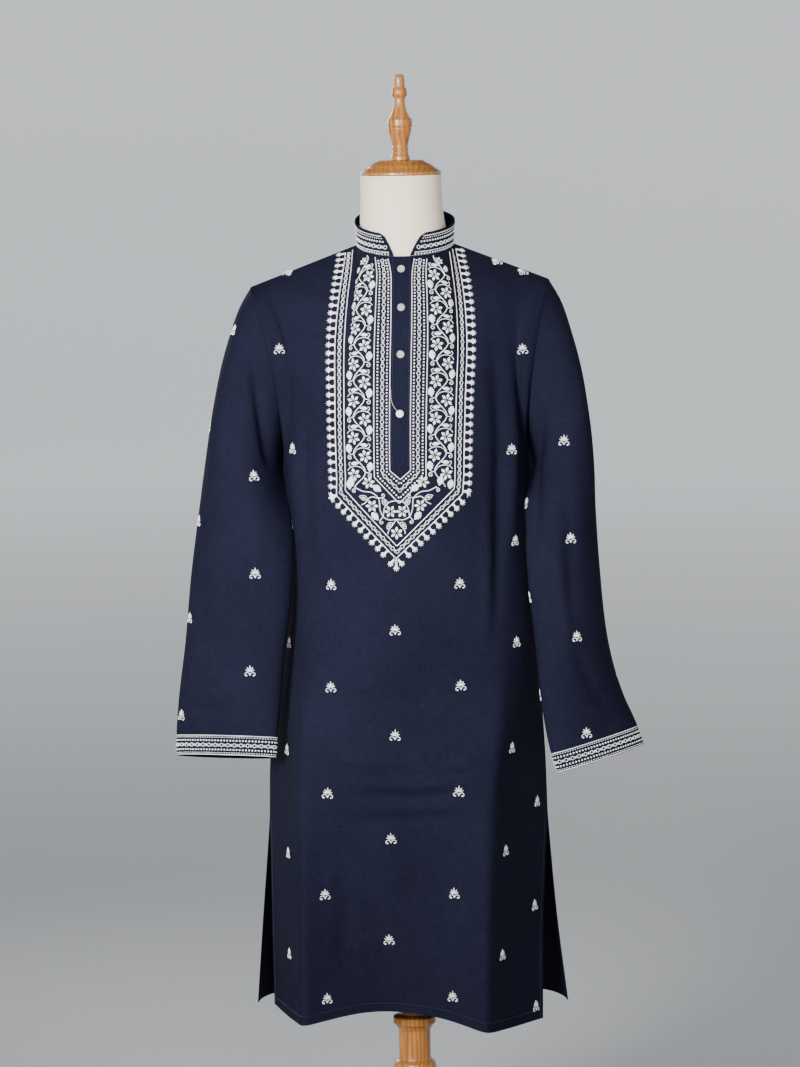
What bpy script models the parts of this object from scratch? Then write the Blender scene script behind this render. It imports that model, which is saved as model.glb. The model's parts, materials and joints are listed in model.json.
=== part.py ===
"""A long kurta with a band collar, worn by a limbless dress form on a turned wooden stand.

Metres, +Z up, X to the right of someone facing the front, and the front faces -Y. The origin is
the centre of the base's underside. Each sewn piece is a thin wall, worked out as a grid of
points: its columns run down the cloth and its rows run across it.
"""

import math
from collections import namedtuple

import bmesh
import bpy
import numpy as np

# Cloth
WALL = 0.0015
SEAM_GAP = 0.0003
SEAT_GAP = 0.0004
TINY = 1e-6
# The least share of a normal that points into the sleeve along the armhole's edge
EDGE_TURN = 0.06

# Heights above the floor
CHEST = 1.186
SLIT_TOP = 0.667
UNDERARM = 1.222
SHOULDER = 1.458
TORSO_BOTTOM = 0.700
NECK_TOP = 1.6147
CAP_TOP = 1.6355
FINIAL_TOP = 1.760
POLE_FLANGE = 0.369
POLE_BEAD = 0.2915

# Armholes and shoulders
ARMHOLE_X = 0.1975
ARMHOLE_LEAN = 0.019
ARMHOLE_FRONT = 0.068
ARMHOLE_BACK = 0.074
ARMHOLE_SCOOP = 0.008
ARMHOLE_SLANT = math.radians(9)
SHOULDER_SHIFT = -0.004
SHOULDER_TILT = 0.0025

# Neckline, an oval that rises towards the back
NECKLINE_HALF_WIDTH = 0.0705
NECKLINE_FRONT = -0.074
NECKLINE_BACK = 0.080
NECKLINE_FRONT_Z = 1.500
NECKLINE_BACK_Z = 1.528
NECKLINE_SHIFT_FRONT = -0.0015
NECKLINE_SHIFT_SIDE = 0.005
NECK_RADIUS = 0.0590
NECK_FOOT = 1.540
NECK_STEP_IN = 0.955

# Collar
COLLAR_HEIGHT_FRONT = 0.031
COLLAR_HEIGHT_BACK = 0.038
COLLAR_FLARE = 0.0025
COLLAR_FRONT_LEAN = 0.007
COLLAR_STEPS = 26
# The wall's end faces stay nearly level, so that the collar clears the neckline that it stands on
COLLAR_LEVEL = 0.2
CollarEnd = namedtuple("CollarEnd", "share degrees")
COLLAR_ENDS = (
    CollarEnd(share=0.00, degrees=9.5),
    CollarEnd(share=0.35, degrees=13.5),
    CollarEnd(share=0.70, degrees=18.5),
    CollarEnd(share=0.90, degrees=22.5),
    CollarEnd(share=1.00, degrees=28.0),
)

# Columns of a panel, as shares of the half panel from its centre line to its side seam
NECK_COLUMN = 0.36
SHOULDER_COLUMN = 0.66
Steps = namedtuple("Steps", "neck shoulder armhole")
PANEL_STEPS = Steps(neck=6, shoulder=5, armhole=8)
FORM_STEPS = Steps(neck=3, shoulder=2, armhole=4)
LEFT_FOLD_COLUMN = -0.48
RIGHT_FOLD_COLUMN = 0.54

# A round section's fullness: 1 is an oval, and less is squarer
ROUNDNESS = 0.8
# How the front hollows between its folds: 1 is flat, and more is rounder
HOLLOW = 1.6

# Rows of a panel
SKIRT_STEPS = 4
HIP_STEPS = 7
YOKE_ROWS = (0.045, 0.18, 0.34, 0.50, 0.66, 0.80, 0.91, 1.0)

# Buttons
BUTTON_RADIUS = 0.0055
BUTTON_THICKNESS = 0.0026
PLACKET_WALL = 0.0012
PLACKET_HALF_WIDTH = 0.0155
# The pointed end's width as a share of the strip's, and how much of the top row's rise it stops short
TIP_SHARE = 0.10
NECK_CLEARANCE = 0.06

# Stand
POLE_RADIUS = 0.02335
FLANGE_RADIUS = 0.0315
BASE_RADIUS = 0.190
BASE_THICKNESS = 0.026
ROUND_STEPS = 28

Side = namedtuple("Side", "z left right seam_y")
SIDE_SEAMS = (
    Side(z=0.360, left=-0.2245, right=0.2185, seam_y=0.010),
    Side(z=0.520, left=-0.2170, right=0.2075, seam_y=0.011),
    Side(z=0.667, left=-0.2095, right=0.2025, seam_y=0.012),
    Side(z=0.760, left=-0.2065, right=0.2000, seam_y=0.012),
    Side(z=0.850, left=-0.1960, right=0.1950, seam_y=0.010),
    Side(z=0.950, left=-0.1810, right=0.1890, seam_y=0.008),
    Side(z=1.050, left=-0.1740, right=0.1820, seam_y=0.006),
    Side(z=1.120, left=-0.1720, right=0.1800, seam_y=0.005),
    Side(z=1.186, left=-0.1770, right=0.1790, seam_y=0.004),
)

Centre = namedtuple("Centre", "z x front back fold")
CENTRE_LINES = (
    Centre(z=0.360, x=-0.0345, front=-0.098, back=0.160, fold=1.0),
    Centre(z=0.520, x=-0.0345, front=-0.112, back=0.154, fold=1.0),
    Centre(z=0.667, x=-0.0290, front=-0.129, back=0.146, fold=1.0),
    Centre(z=0.760, x=-0.0230, front=-0.136, back=0.142, fold=0.85),
    Centre(z=0.850, x=-0.0200, front=-0.133, back=0.134, fold=0.45),
    Centre(z=0.950, x=-0.0190, front=-0.131, back=0.118, fold=0.08),
    Centre(z=1.050, x=-0.0175, front=-0.132, back=0.108, fold=0.0),
    Centre(z=1.120, x=-0.0120, front=-0.135, back=0.110, fold=0.0),
    Centre(z=1.186, x=-0.0080, front=-0.138, back=0.116, fold=0.0),
)

Fold = namedtuple("Fold", "z left_x left_y right_x right_y")
FRONT_FOLDS = (
    Fold(z=0.360, left_x=-0.1640, left_y=-0.146, right_x=0.1085, right_y=-0.150),
    Fold(z=0.520, left_x=-0.1630, left_y=-0.142, right_x=0.1110, right_y=-0.147),
    Fold(z=0.667, left_x=-0.1610, left_y=-0.136, right_x=0.1165, right_y=-0.142),
    Fold(z=0.850, left_x=-0.1580, left_y=-0.121, right_x=0.1230, right_y=-0.130),
    Fold(z=0.950, left_x=-0.1350, left_y=-0.105, right_x=0.1250, right_y=-0.110),
    Fold(z=1.186, left_x=-0.1300, left_y=-0.100, right_x=0.1300, right_y=-0.100),
)

# How far each lower corner has swung from the side seam's line at the hem
Corner = namedtuple("Corner", "x y")
FRONT_LEFT_CORNER = Corner(x=0.016, y=-0.014)
FRONT_RIGHT_CORNER = Corner(x=-0.026, y=-0.036)
BACK_LEFT_CORNER = Corner(x=-0.010, y=0.020)
BACK_RIGHT_CORNER = Corner(x=0.013, y=0.012)

Hem = namedtuple("Hem", "column front back")
HEM_LINE = (
    Hem(column=-1.00, front=0.391, back=0.385),
    Hem(column=-0.48, front=0.389, back=0.384),
    Hem(column=-0.10, front=0.399, back=0.386),
    Hem(column=0.25, front=0.392, back=0.386),
    Hem(column=0.54, front=0.376, back=0.384),
    Hem(column=1.00, front=0.368, back=0.383),
)
# The back's soft vertical waves, which grow from this height down to the hem
WAVE_TOP = 0.95
BACK_WAVE = 0.011
BACK_WAVES = 2.5

# The direction in which the cloth arrives at the top edge, away from the centre line
Arrival = namedtuple("Arrival", "column out back up")
FRONT_ARRIVAL = (
    Arrival(column=0.000, out=0.00, back=0.45, up=0.89),
    Arrival(column=0.360, out=-0.02, back=0.80, up=0.60),
    Arrival(column=0.660, out=0.50, back=0.72, up=0.24),
    Arrival(column=0.745, out=0.60, back=0.45, up=0.36),
    Arrival(column=0.830, out=0.42, back=0.22, up=0.85),
    Arrival(column=1.000, out=0.08, back=0.00, up=1.00),
)
BACK_ARRIVAL = (
    Arrival(column=0.000, out=0.00, back=-0.42, up=0.91),
    Arrival(column=0.360, out=-0.02, back=-0.80, up=0.60),
    Arrival(column=0.660, out=0.50, back=-0.72, up=0.24),
    Arrival(column=0.745, out=0.60, back=-0.45, up=0.36),
    Arrival(column=0.830, out=0.42, back=-0.22, up=0.85),
    Arrival(column=1.000, out=0.08, back=0.00, up=1.00),
)
RISE_SHARE = 0.40
ARRIVE_SHARE = 0.36

# A sleeve's sections: its outer and inner edge, how far it bulges to the front and to the back,
# how much the front of the section is raised, and the height of the ridge near the armhole
Sleeve = namedtuple("Sleeve", "out_x out_y out_z in_x in_y in_z front back lift ridge")
LEFT_SLEEVE = (
    Sleeve(0.2360, 0.000, 1.428, 0.1850, -0.008, 1.196, 0.066, 0.064, 0.000, 0.004),
    Sleeve(0.2500, 0.000, 1.380, 0.1840, -0.027, 1.164, 0.062, 0.048, 0.000, 0.008),
    Sleeve(0.2690, 0.000, 1.292, 0.1745, -0.058, 1.128, 0.058, 0.030, 0.000, 0.008),
    Sleeve(0.2840, 0.000, 1.212, 0.1665, -0.074, 1.090, 0.055, 0.030, 0.000, 0.005),
    Sleeve(0.2985, -0.004, 1.130, 0.1665, -0.082, 1.048, 0.050, 0.028, 0.000, 0.000),
    Sleeve(0.3110, -0.012, 1.052, 0.1700, -0.087, 1.004, 0.046, 0.027, 0.000, 0.000),
    Sleeve(0.3245, -0.024, 0.938, 0.1810, -0.094, 0.920, 0.038, 0.026, 0.001, 0.000),
    Sleeve(0.3367, -0.036, 0.852, 0.1885, -0.100, 0.846, 0.031, 0.024, 0.003, 0.000),
    Sleeve(0.3408, -0.045, 0.803, 0.1935, -0.104, 0.800, 0.027, 0.022, 0.005, 0.000),
    Sleeve(0.3413, -0.048, 0.774, 0.1952, -0.105, 0.7775, 0.026, 0.022, 0.006, 0.000),
)
RIGHT_SLEEVE = (
    Sleeve(0.2290, 0.000, 1.430, 0.1900, -0.004, 1.200, 0.068, 0.070, 0.000, 0.002),
    Sleeve(0.2370, 0.000, 1.384, 0.1905, -0.022, 1.170, 0.064, 0.052, 0.000, 0.005),
    Sleeve(0.2480, 0.003, 1.292, 0.1830, -0.052, 1.134, 0.060, 0.032, 0.000, 0.006),
    Sleeve(0.2560, 0.004, 1.212, 0.1775, -0.074, 1.100, 0.056, 0.026, 0.000, 0.004),
    Sleeve(0.2635, 0.000, 1.130, 0.1765, -0.086, 1.062, 0.052, 0.026, 0.000, 0.000),
    Sleeve(0.2700, -0.004, 1.050, 0.1790, -0.093, 1.018, 0.048, 0.026, 0.000, 0.000),
    Sleeve(0.2855, -0.014, 0.930, 0.1875, -0.100, 0.930, 0.042, 0.026, 0.001, 0.000),
    Sleeve(0.3095, -0.026, 0.855, 0.1935, -0.105, 0.848, 0.034, 0.025, 0.003, 0.000),
    Sleeve(0.3310, -0.036, 0.808, 0.2045, -0.108, 0.782, 0.029, 0.024, 0.005, 0.000),
    Sleeve(0.3420, -0.040, 0.7775, 0.2142, -0.110, 0.7495, 0.027, 0.023, 0.006, 0.000),
)
RIDGE_ANGLE = math.radians(58)
RIDGE_SPREAD = math.radians(24)

Form = namedtuple("Form", "z half_width front back")
FORM_SECTIONS = (
    Form(z=0.700, half_width=0.1660, front=-0.121, back=0.116),
    Form(z=0.706, half_width=0.1700, front=-0.125, back=0.120),
    Form(z=0.760, half_width=0.1740, front=-0.126, back=0.124),
    Form(z=0.840, half_width=0.1690, front=-0.120, back=0.118),
    Form(z=0.930, half_width=0.1520, front=-0.112, back=0.102),
    Form(z=1.020, half_width=0.1420, front=-0.108, back=0.092),
    Form(z=1.110, half_width=0.1460, front=-0.116, back=0.096),
)
FORM_SHIFT = -0.003
FORM_SIDE_Y = 0.004
FORM_SEAT = 0.0011
FORM_CHEST_GAP = 0.0125
ARMHOLE_CLEAR = 0.005
ARMHOLE_DISH = 0.005

Button = namedtuple("Button", "name z")
BUTTONS = (
    Button(name="button_1", z=1.482),
    Button(name="button_2", z=1.428),
    Button(name="button_3", z=1.362),
    Button(name="button_4", z=1.278),
)

Turn = namedtuple("Turn", "radius z")
FINIAL_PROFILE = (
    Turn(0.0139, CAP_TOP + SEAM_GAP),
    Turn(0.0137, 1.6415),
    Turn(0.0116, 1.6450),
    Turn(0.0122, 1.6475),
    Turn(0.0112, 1.6500),
    Turn(0.0121, 1.6535),
    Turn(0.0114, 1.6565),
    Turn(0.0121, 1.6610),
    Turn(0.0137, 1.6680),
    Turn(0.0160, 1.6760),
    Turn(0.0172, 1.6830),
    Turn(0.0178, 1.6860),
    Turn(0.0178, 1.6945),
    Turn(0.0162, 1.6965),
    Turn(0.0135, 1.7010),
    Turn(0.0110, 1.7060),
    Turn(0.0088, 1.7140),
    Turn(0.0080, 1.7225),
    Turn(0.0083, 1.7260),
    Turn(0.0108, 1.7300),
    Turn(0.0111, 1.7340),
    Turn(0.0105, 1.7385),
    Turn(0.0080, 1.7420),
    Turn(0.0079, 1.7520),
    Turn(0.0070, 1.7575),
    Turn(0.0045, FINIAL_TOP),
)
BUTTON_PROFILE = (
    Turn(BUTTON_RADIUS * 0.86, 0.0),
    Turn(BUTTON_RADIUS, BUTTON_THICKNESS * 0.45),
    Turn(BUTTON_RADIUS * 0.93, BUTTON_THICKNESS * 0.9),
    Turn(BUTTON_RADIUS * 0.80, BUTTON_THICKNESS),
    Turn(BUTTON_RADIUS * 0.62, BUTTON_THICKNESS * 0.72),
)
CAP_PROFILE = (
    Turn(NECK_RADIUS, NECK_TOP + SEAM_GAP),
    Turn(NECK_RADIUS, 1.6190),
    Turn(0.0560, 1.6215),
    Turn(0.0500, 1.6250),
    Turn(0.0450, 1.6290),
    Turn(0.0400, 1.6315),
    Turn(0.0350, 1.6340),
    Turn(0.0335, CAP_TOP),
)
POLE_PROFILE = (
    Turn(FLANGE_RADIUS, BASE_THICKNESS + SEAM_GAP),
    Turn(FLANGE_RADIUS, 0.0400),
    Turn(0.0250, 0.0480),
    Turn(POLE_RADIUS, 0.0600),
    Turn(POLE_RADIUS, POLE_BEAD - 0.0135),
    Turn(0.0300, POLE_BEAD - 0.0085),
    Turn(FLANGE_RADIUS, POLE_BEAD),
    Turn(0.0300, POLE_BEAD + 0.0085),
    Turn(POLE_RADIUS, POLE_BEAD + 0.0135),
    Turn(POLE_RADIUS, POLE_FLANGE - 0.0210),
    Turn(0.0262, POLE_FLANGE - 0.0160),
    Turn(FLANGE_RADIUS, POLE_FLANGE - 0.0100),
    Turn(FLANGE_RADIUS, POLE_FLANGE),
    Turn(0.0200, POLE_FLANGE + 0.0030),
    Turn(0.0200, TORSO_BOTTOM - SEAM_GAP),
)
BASE_PROFILE = (
    Turn(BASE_RADIUS - 0.005, 0.0),
    Turn(BASE_RADIUS, 0.004),
    Turn(BASE_RADIUS, BASE_THICKNESS - 0.008),
    Turn(BASE_RADIUS - 0.005, BASE_THICKNESS - 0.002),
    Turn(BASE_RADIUS - 0.012, BASE_THICKNESS),
)


def clear_scene():
    for obj in list(bpy.data.objects):
        bpy.data.objects.remove(obj, do_unlink=True)


def material(name, color, roughness, metallic=0.0):
    made = bpy.data.materials.new(name)
    made.use_nodes = True
    shader = made.node_tree.nodes["Principled BSDF"]
    shader.inputs["Base Color"].default_value = (*color, 1.0)
    shader.inputs["Roughness"].default_value = roughness
    shader.inputs["Metallic"].default_value = metallic
    return made


def read(rows, key, column, place):
    """A smooth curve through one column of a table, read at a place along its key column."""
    keys = [getattr(row, key) for row in rows]
    values = [getattr(row, column) for row in rows]
    slopes = np.gradient(np.array(values), np.array(keys))
    place = min(max(place, keys[0]), keys[-1])
    i = min(max(int(np.searchsorted(keys, place)) - 1, 0), len(keys) - 2)
    span = keys[i + 1] - keys[i]
    t = (place - keys[i]) / span
    rise = (2 * t**3 - 3 * t**2 + 1) * values[i] + (3 * t**2 - 2 * t**3) * values[i + 1]
    bend = (t**3 - 2 * t**2 + t) * slopes[i] + (t**3 - t**2) * slopes[i + 1]
    return rise + bend * span


def columns(steps=PANEL_STEPS):
    """The columns of a panel, from its left side seam to its right one."""
    neck = np.linspace(0, NECK_COLUMN, steps.neck + 1)
    shoulder = np.linspace(NECK_COLUMN, SHOULDER_COLUMN, steps.shoulder + 1)[1:]
    armhole = np.linspace(SHOULDER_COLUMN, 1, steps.armhole + 1)[1:]
    half = np.concatenate([neck, shoulder, armhole])
    return np.concatenate([-half[:0:-1], half])


def armhole_point(side, angle):
    """A point of the armhole: 0 is the shoulder, a quarter turn the front, half a turn the underarm."""
    top = (1 + math.cos(angle)) / 2
    middle = (SHOULDER + UNDERARM) / 2
    x = ARMHOLE_X + ARMHOLE_LEAN * math.cos(angle) - ARMHOLE_SCOOP * math.sin(angle) ** 2
    depth = ARMHOLE_FRONT if math.sin(angle) > 0 else ARMHOLE_BACK
    z = middle + (SHOULDER - middle) * math.cos(angle)
    return np.array(
        [
            side * x + SHOULDER_SHIFT * top,
            -depth * math.sin(angle) + SIDE_SEAMS[-1].seam_y * (1 - top),
            z + side * SHOULDER_TILT * top,
        ]
    )


def armhole_axis(side):
    """The direction in which a sleeve leaves its armhole."""
    return np.array([side * math.cos(ARMHOLE_SLANT), 0, -math.sin(ARMHOLE_SLANT)])


def neckline_point(angle):
    """A point of the neckline: 0 is the centre front, and the angle grows towards +X."""
    sideways = abs(math.sin(angle))
    shift = NECKLINE_SHIFT_FRONT + (NECKLINE_SHIFT_SIDE - NECKLINE_SHIFT_FRONT) * sideways
    forward = (1 + math.cos(angle)) / 2
    return np.array(
        [
            shift + NECKLINE_HALF_WIDTH * math.sin(angle),
            NECKLINE_BACK + (NECKLINE_FRONT - NECKLINE_BACK) * forward,
            NECKLINE_BACK_Z + (NECKLINE_FRONT_Z - NECKLINE_BACK_Z) * forward,
        ]
    )


def top_edge(column, front):
    """The top edge of a panel: up the armhole, along the shoulder seam and round the neck."""
    side = 1 if column >= 0 else -1
    reach = abs(column)
    if reach >= SHOULDER_COLUMN:
        angle = math.pi * (reach - SHOULDER_COLUMN) / (1 - SHOULDER_COLUMN)
        return armhole_point(side, angle if front else -angle)
    if reach >= NECK_COLUMN:
        share = (reach - NECK_COLUMN) / (SHOULDER_COLUMN - NECK_COLUMN)
        neck = neckline_point(side * math.pi / 2)
        return neck + (armhole_point(side, 0) - neck) * share
    angle = side * (math.pi / 2) * reach / NECK_COLUMN
    return neckline_point(angle if front else math.pi - angle)


def round_section(column, z, front):
    """The cloth's section at a height where it lies round the body."""
    middle = read(CENTRE_LINES, "z", "x", z)
    edge = read(SIDE_SEAMS, "z", "right" if column >= 0 else "left", z)
    seam_y = read(SIDE_SEAMS, "z", "seam_y", z)
    depth = read(CENTRE_LINES, "z", "front" if front else "back", z)
    turn = abs(column) * math.pi / 2
    return np.array(
        [
            middle + (edge - middle) * math.sin(turn),
            seam_y + (depth - seam_y) * max(math.cos(turn), 0) ** ROUNDNESS,
        ]
    )


def folded_section(column, z):
    """The front's section lower down: flat or hollow between two sharp folds, then turned back."""
    seam_y = read(SIDE_SEAMS, "z", "seam_y", z)
    places = [-1, LEFT_FOLD_COLUMN, 0, RIGHT_FOLD_COLUMN, 1]
    xs = [
        read(SIDE_SEAMS, "z", "left", z),
        read(FRONT_FOLDS, "z", "left_x", z),
        read(CENTRE_LINES, "z", "x", z),
        read(FRONT_FOLDS, "z", "right_x", z),
        read(SIDE_SEAMS, "z", "right", z),
    ]
    ys = [
        seam_y,
        read(FRONT_FOLDS, "z", "left_y", z),
        read(CENTRE_LINES, "z", "front", z),
        read(FRONT_FOLDS, "z", "right_y", z),
        seam_y,
    ]
    x = np.interp(column, places, xs)
    y = np.interp(column, places, ys)
    if LEFT_FOLD_COLUMN < column < RIGHT_FOLD_COLUMN:
        fold = LEFT_FOLD_COLUMN if column < 0 else RIGHT_FOLD_COLUMN
        fold_y = ys[1] if column < 0 else ys[3]
        share = column / fold
        y = ys[2] + (fold_y - ys[2]) * share**HOLLOW
    return np.array([x, y])


def corner_swing(column, z, front):
    """How far a lower side edge has swung from the seam's line, below the top of the slit."""
    if z >= SLIT_TOP:
        return np.zeros(2)
    if front:
        corner = FRONT_RIGHT_CORNER if column > 0 else FRONT_LEFT_CORNER
    else:
        corner = BACK_RIGHT_CORNER if column > 0 else BACK_LEFT_CORNER
    drop = (SLIT_TOP - z) / (SLIT_TOP - HEM_LINE[0].back)
    return np.array(corner) * drop * abs(column) ** 3


def skirt_point(column, z, front):
    """A point of a panel below the chest."""
    place = round_section(column, z, front)
    if front:
        fold = read(CENTRE_LINES, "z", "fold", z)
        fold = min(max(fold, 0), 1)
        place = place * (1 - fold) + folded_section(column, z) * fold
    else:
        drop = max(0, (WAVE_TOP - z) / (WAVE_TOP - HEM_LINE[0].back))
        wave = math.cos(column * BACK_WAVES * math.pi) * (1 - abs(column) ** 4)
        place = place + np.array([0, BACK_WAVE * drop * wave])
    place = place + corner_swing(column, z, front)
    return np.array([place[0], place[1], z])


def yoke_point(column, share, front):
    """A point of a panel above the chest, on a curve that rises from it and arrives at the top edge."""
    side = 1 if column >= 0 else -1
    start = skirt_point(column, CHEST, front)
    end = top_edge(column, front)
    rows = FRONT_ARRIVAL if front else BACK_ARRIVAL
    out, back, up = (read(rows, "column", name, abs(column)) for name in ("out", "back", "up"))
    arrive = np.array([side * out, back, up])
    arrive = arrive / np.linalg.norm(arrive)
    length = np.linalg.norm(end - start)
    first = start + np.array([0, 0, RISE_SHARE * length])
    second = end - arrive * ARRIVE_SHARE * length
    t = share
    return (
        (1 - t) ** 3 * start
        + 3 * (1 - t) ** 2 * t * first
        + 3 * (1 - t) * t**2 * second
        + t**3 * end
    )


def panel_points(front, steps=PANEL_STEPS):
    """The grid of a panel's outer face. The back's columns run from right to left."""
    order = columns(steps) if front else columns(steps)[::-1]
    hem = [read(HEM_LINE, "column", "front" if front else "back", c) for c in order]
    rows = []
    for step in range(SKIRT_STEPS):
        share = step / SKIRT_STEPS
        heights = [h + (SLIT_TOP - h) * share for h in hem]
        rows.append([skirt_point(c, z, front) for c, z in zip(order, heights)])
    for step in range(HIP_STEPS + 1):
        z = SLIT_TOP + (CHEST - SLIT_TOP) * step / HIP_STEPS
        rows.append([skirt_point(c, z, front) for c in order])
    for share in YOKE_ROWS:
        rows.append([yoke_point(c, share, front) for c in order])
    return np.array(rows)


def grid_normals(grid, closed):
    """A grid's outward normals, from the run of its columns and rows."""
    if closed:
        across = np.roll(grid, -1, axis=1) - np.roll(grid, 1, axis=1)
    else:
        across = np.gradient(grid, axis=1)
    along = np.gradient(grid, axis=0)
    normals = np.cross(across, along)
    return normals / np.linalg.norm(normals, axis=2, keepdims=True)


def on_shoulder_seam(column):
    return NECK_COLUMN - TINY < abs(column) < SHOULDER_COLUMN + TINY


def panel_normals(grid, steps=PANEL_STEPS):
    """A panel's normals, kept in the seams' planes at its edges, so that no wall crosses a seam."""
    normals = grid_normals(grid, closed=False)
    for row in range(SKIRT_STEPS, len(grid)):
        for column in (0, -1):
            normals[row, column, 1] = 0
    for index, column in enumerate(columns(steps)):
        if abs(column) > SHOULDER_COLUMN - TINY:
            outward = armhole_axis(math.copysign(1, grid[-1, index, 0]))
            normals[-1, index] += outward * max(0, EDGE_TURN - normals[-1, index] @ outward)
        if on_shoulder_seam(column):
            normals[-1, index, 1] = 0
    return normals / np.linalg.norm(normals, axis=2, keepdims=True)


def new_object(name, points, faces, finish):
    mesh = bpy.data.meshes.new(name)
    mesh.from_pydata([tuple(map(float, p)) for p in points], [], faces)
    mesh.validate()
    mesh.materials.append(finish)
    mesh.shade_smooth()
    mesh.set_sharp_from_angle(angle=math.radians(50))
    obj = bpy.data.objects.new(name, mesh)
    bpy.context.scene.collection.objects.link(obj)
    return obj


def wall(name, grid, normals, finish, closed=False, thickness=WALL):
    """A closed wall between a grid of outer points and the same grid moved in by its thickness."""
    rows, count, _ = grid.shape
    outer = grid.reshape(-1, 3)
    inner = (grid - normals * thickness).reshape(-1, 3)
    shift = rows * count
    faces = []
    for row in range(rows - 1):
        for column in range(count if closed else count - 1):
            a = row * count + column
            b = row * count + (column + 1) % count
            c = b + count
            d = a + count
            faces.append((a, b, c, d))
            faces.append((a + shift, d + shift, c + shift, b + shift))
    for column in range(count if closed else count - 1):
        a = column
        b = (column + 1) % count
        faces.append((a, a + shift, b + shift, b))
        a += (rows - 1) * count
        b += (rows - 1) * count
        faces.append((a, b, b + shift, a + shift))
    if not closed:
        for row in range(rows - 1):
            a = row * count
            d = a + count
            faces.append((a, d, d + shift, a + shift))
            a += count - 1
            d += count - 1
            faces.append((a, a + shift, d + shift, d))
    return new_object(name, np.concatenate([outer, inner]), faces, finish)


def make_panels(finish):
    """The front and the back, which meet at the side and shoulder seams."""
    grids = {}
    for name, front in (("front", True), ("back", False)):
        grid = panel_points(front)
        normals = panel_normals(grid)
        grid = grid + np.array([0, -SEAM_GAP / 2 if front else SEAM_GAP / 2, 0])
        wall(name, grid, normals, finish)
        grids[name] = (grid, normals)
    return grids


def sleeve_ring(row, side, angle):
    """A point of one of a sleeve's sections, at the same angles as the armhole."""
    outer = np.array([side * row.out_x, row.out_y, row.out_z])
    inner = np.array([side * row.in_x, row.in_y, row.in_z])
    level = (outer - inner)[:2]
    level = level / np.linalg.norm(level)
    forward = np.array([level[1], -level[0]]) * side
    bulge = row.front if math.sin(angle) > 0 else row.back
    off = math.atan2(math.sin(angle - RIDGE_ANGLE), math.cos(angle - RIDGE_ANGLE))
    bulge_out = bulge * math.sin(angle) + row.ridge * math.exp(-((off / RIDGE_SPREAD) ** 2))
    centre = (outer + inner) / 2
    reach = (outer - inner) / 2 * math.cos(angle)
    lift = row.lift * math.sin(angle)
    return centre + reach + np.array([forward[0] * bulge_out, forward[1] * bulge_out, lift])


def make_sleeve(name, side, sections, finish):
    """A sleeve's tube, from just off the armhole down to the cuff."""
    count = PANEL_STEPS.armhole
    angles = [math.pi * i / count for i in range(2 * count)]
    axis = armhole_axis(side)
    rings = [[armhole_point(side, a) + axis * SEAT_GAP for a in angles]]
    rings += [[sleeve_ring(row, side, a) for a in angles] for row in sections]
    grid = np.array(rings)[::-1]
    if side < 0:
        grid = grid[:, ::-1]
    normals = grid_normals(grid, closed=True)
    spread = grid[-1] - np.mean(grid[-1], axis=0)
    spread -= np.outer(spread @ axis, axis)
    normals[-1] = spread / np.linalg.norm(spread, axis=1, keepdims=True)
    return wall(name, grid, normals, finish, closed=True)


def collar_point(angle, share):
    """A point of the collar, from the neckline (share 0) to its top edge (share 1)."""
    forward = (1 + math.cos(angle)) / 2
    height = COLLAR_HEIGHT_BACK + (COLLAR_HEIGHT_FRONT - COLLAR_HEIGHT_BACK) * forward
    flare = COLLAR_FLARE * share * math.sin(angle)
    lean = COLLAR_FRONT_LEAN * share * forward
    return neckline_point(angle) + np.array([flare, lean, SEAM_GAP + height * share])


def make_collar(finish):
    """The band collar, standing on the neckline with rounded ends that part at the front."""
    rows = []
    for end in COLLAR_ENDS:
        first = math.radians(end.degrees)
        turns = np.linspace(first, 2 * math.pi - first, COLLAR_STEPS + 1)
        rows.append([collar_point(angle, end.share) for angle in turns])
    grid = np.array(rows)
    normals = grid_normals(grid, closed=False)
    normals[:, :, 2] *= COLLAR_LEVEL
    normals /= np.linalg.norm(normals, axis=2, keepdims=True)
    return wall("collar", grid, normals, finish)


def make_placket(front, finish):
    """The strip down the front opening, on the front's own points, moved out, with a pointed end."""
    grid, normals = front
    centre = grid.shape[1] // 2
    first = SKIRT_STEPS + HIP_STEPS
    last = len(grid) - 1
    strip = grid[first : last + 1, centre - 1 : centre + 2].copy()
    out = normals[first : last + 1, centre - 1 : centre + 2]
    tip = strip[0, 1].copy()
    for column in (0, 2):
        strip[0, column] = tip + (strip[0, column] - tip) * TIP_SHARE
    strip[-1] += (strip[-2] - strip[-1]) * NECK_CLEARANCE
    outer = strip + out * (SEAM_GAP + PLACKET_WALL)
    wall("placket", outer, out, finish, thickness=PLACKET_WALL)
    return outer


def revolve(name, profile, finish, steps=ROUND_STEPS, x=0.0, y=0.0):
    """A turned piece: its profile runs from its lower end to its upper end."""
    points = [(x, y, profile[0].z)]
    for turn in profile:
        for step in range(steps):
            angle = 2 * math.pi * step / steps
            points.append((x + turn.radius * math.cos(angle), y + turn.radius * math.sin(angle), turn.z))
    points.append((x, y, profile[-1].z))
    faces = []
    last = len(points) - 1
    for step in range(steps):
        after = (step + 1) % steps
        faces.append((0, 1 + after, 1 + step))
        top = 1 + (len(profile) - 1) * steps
        faces.append((last, top + step, top + after))
        for ring in range(len(profile) - 1):
            a = 1 + ring * steps
            faces.append((a + step, a + after, a + steps + after, a + steps + step))
    return new_object(name, points, faces, finish)


def placket_point(placket, column, z):
    """The point at a height on one of the placket's three lines of points."""
    line = placket[:, column]
    return np.array([np.interp(z, line[:, 2], line[:, axis]) for axis in range(3)])


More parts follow.
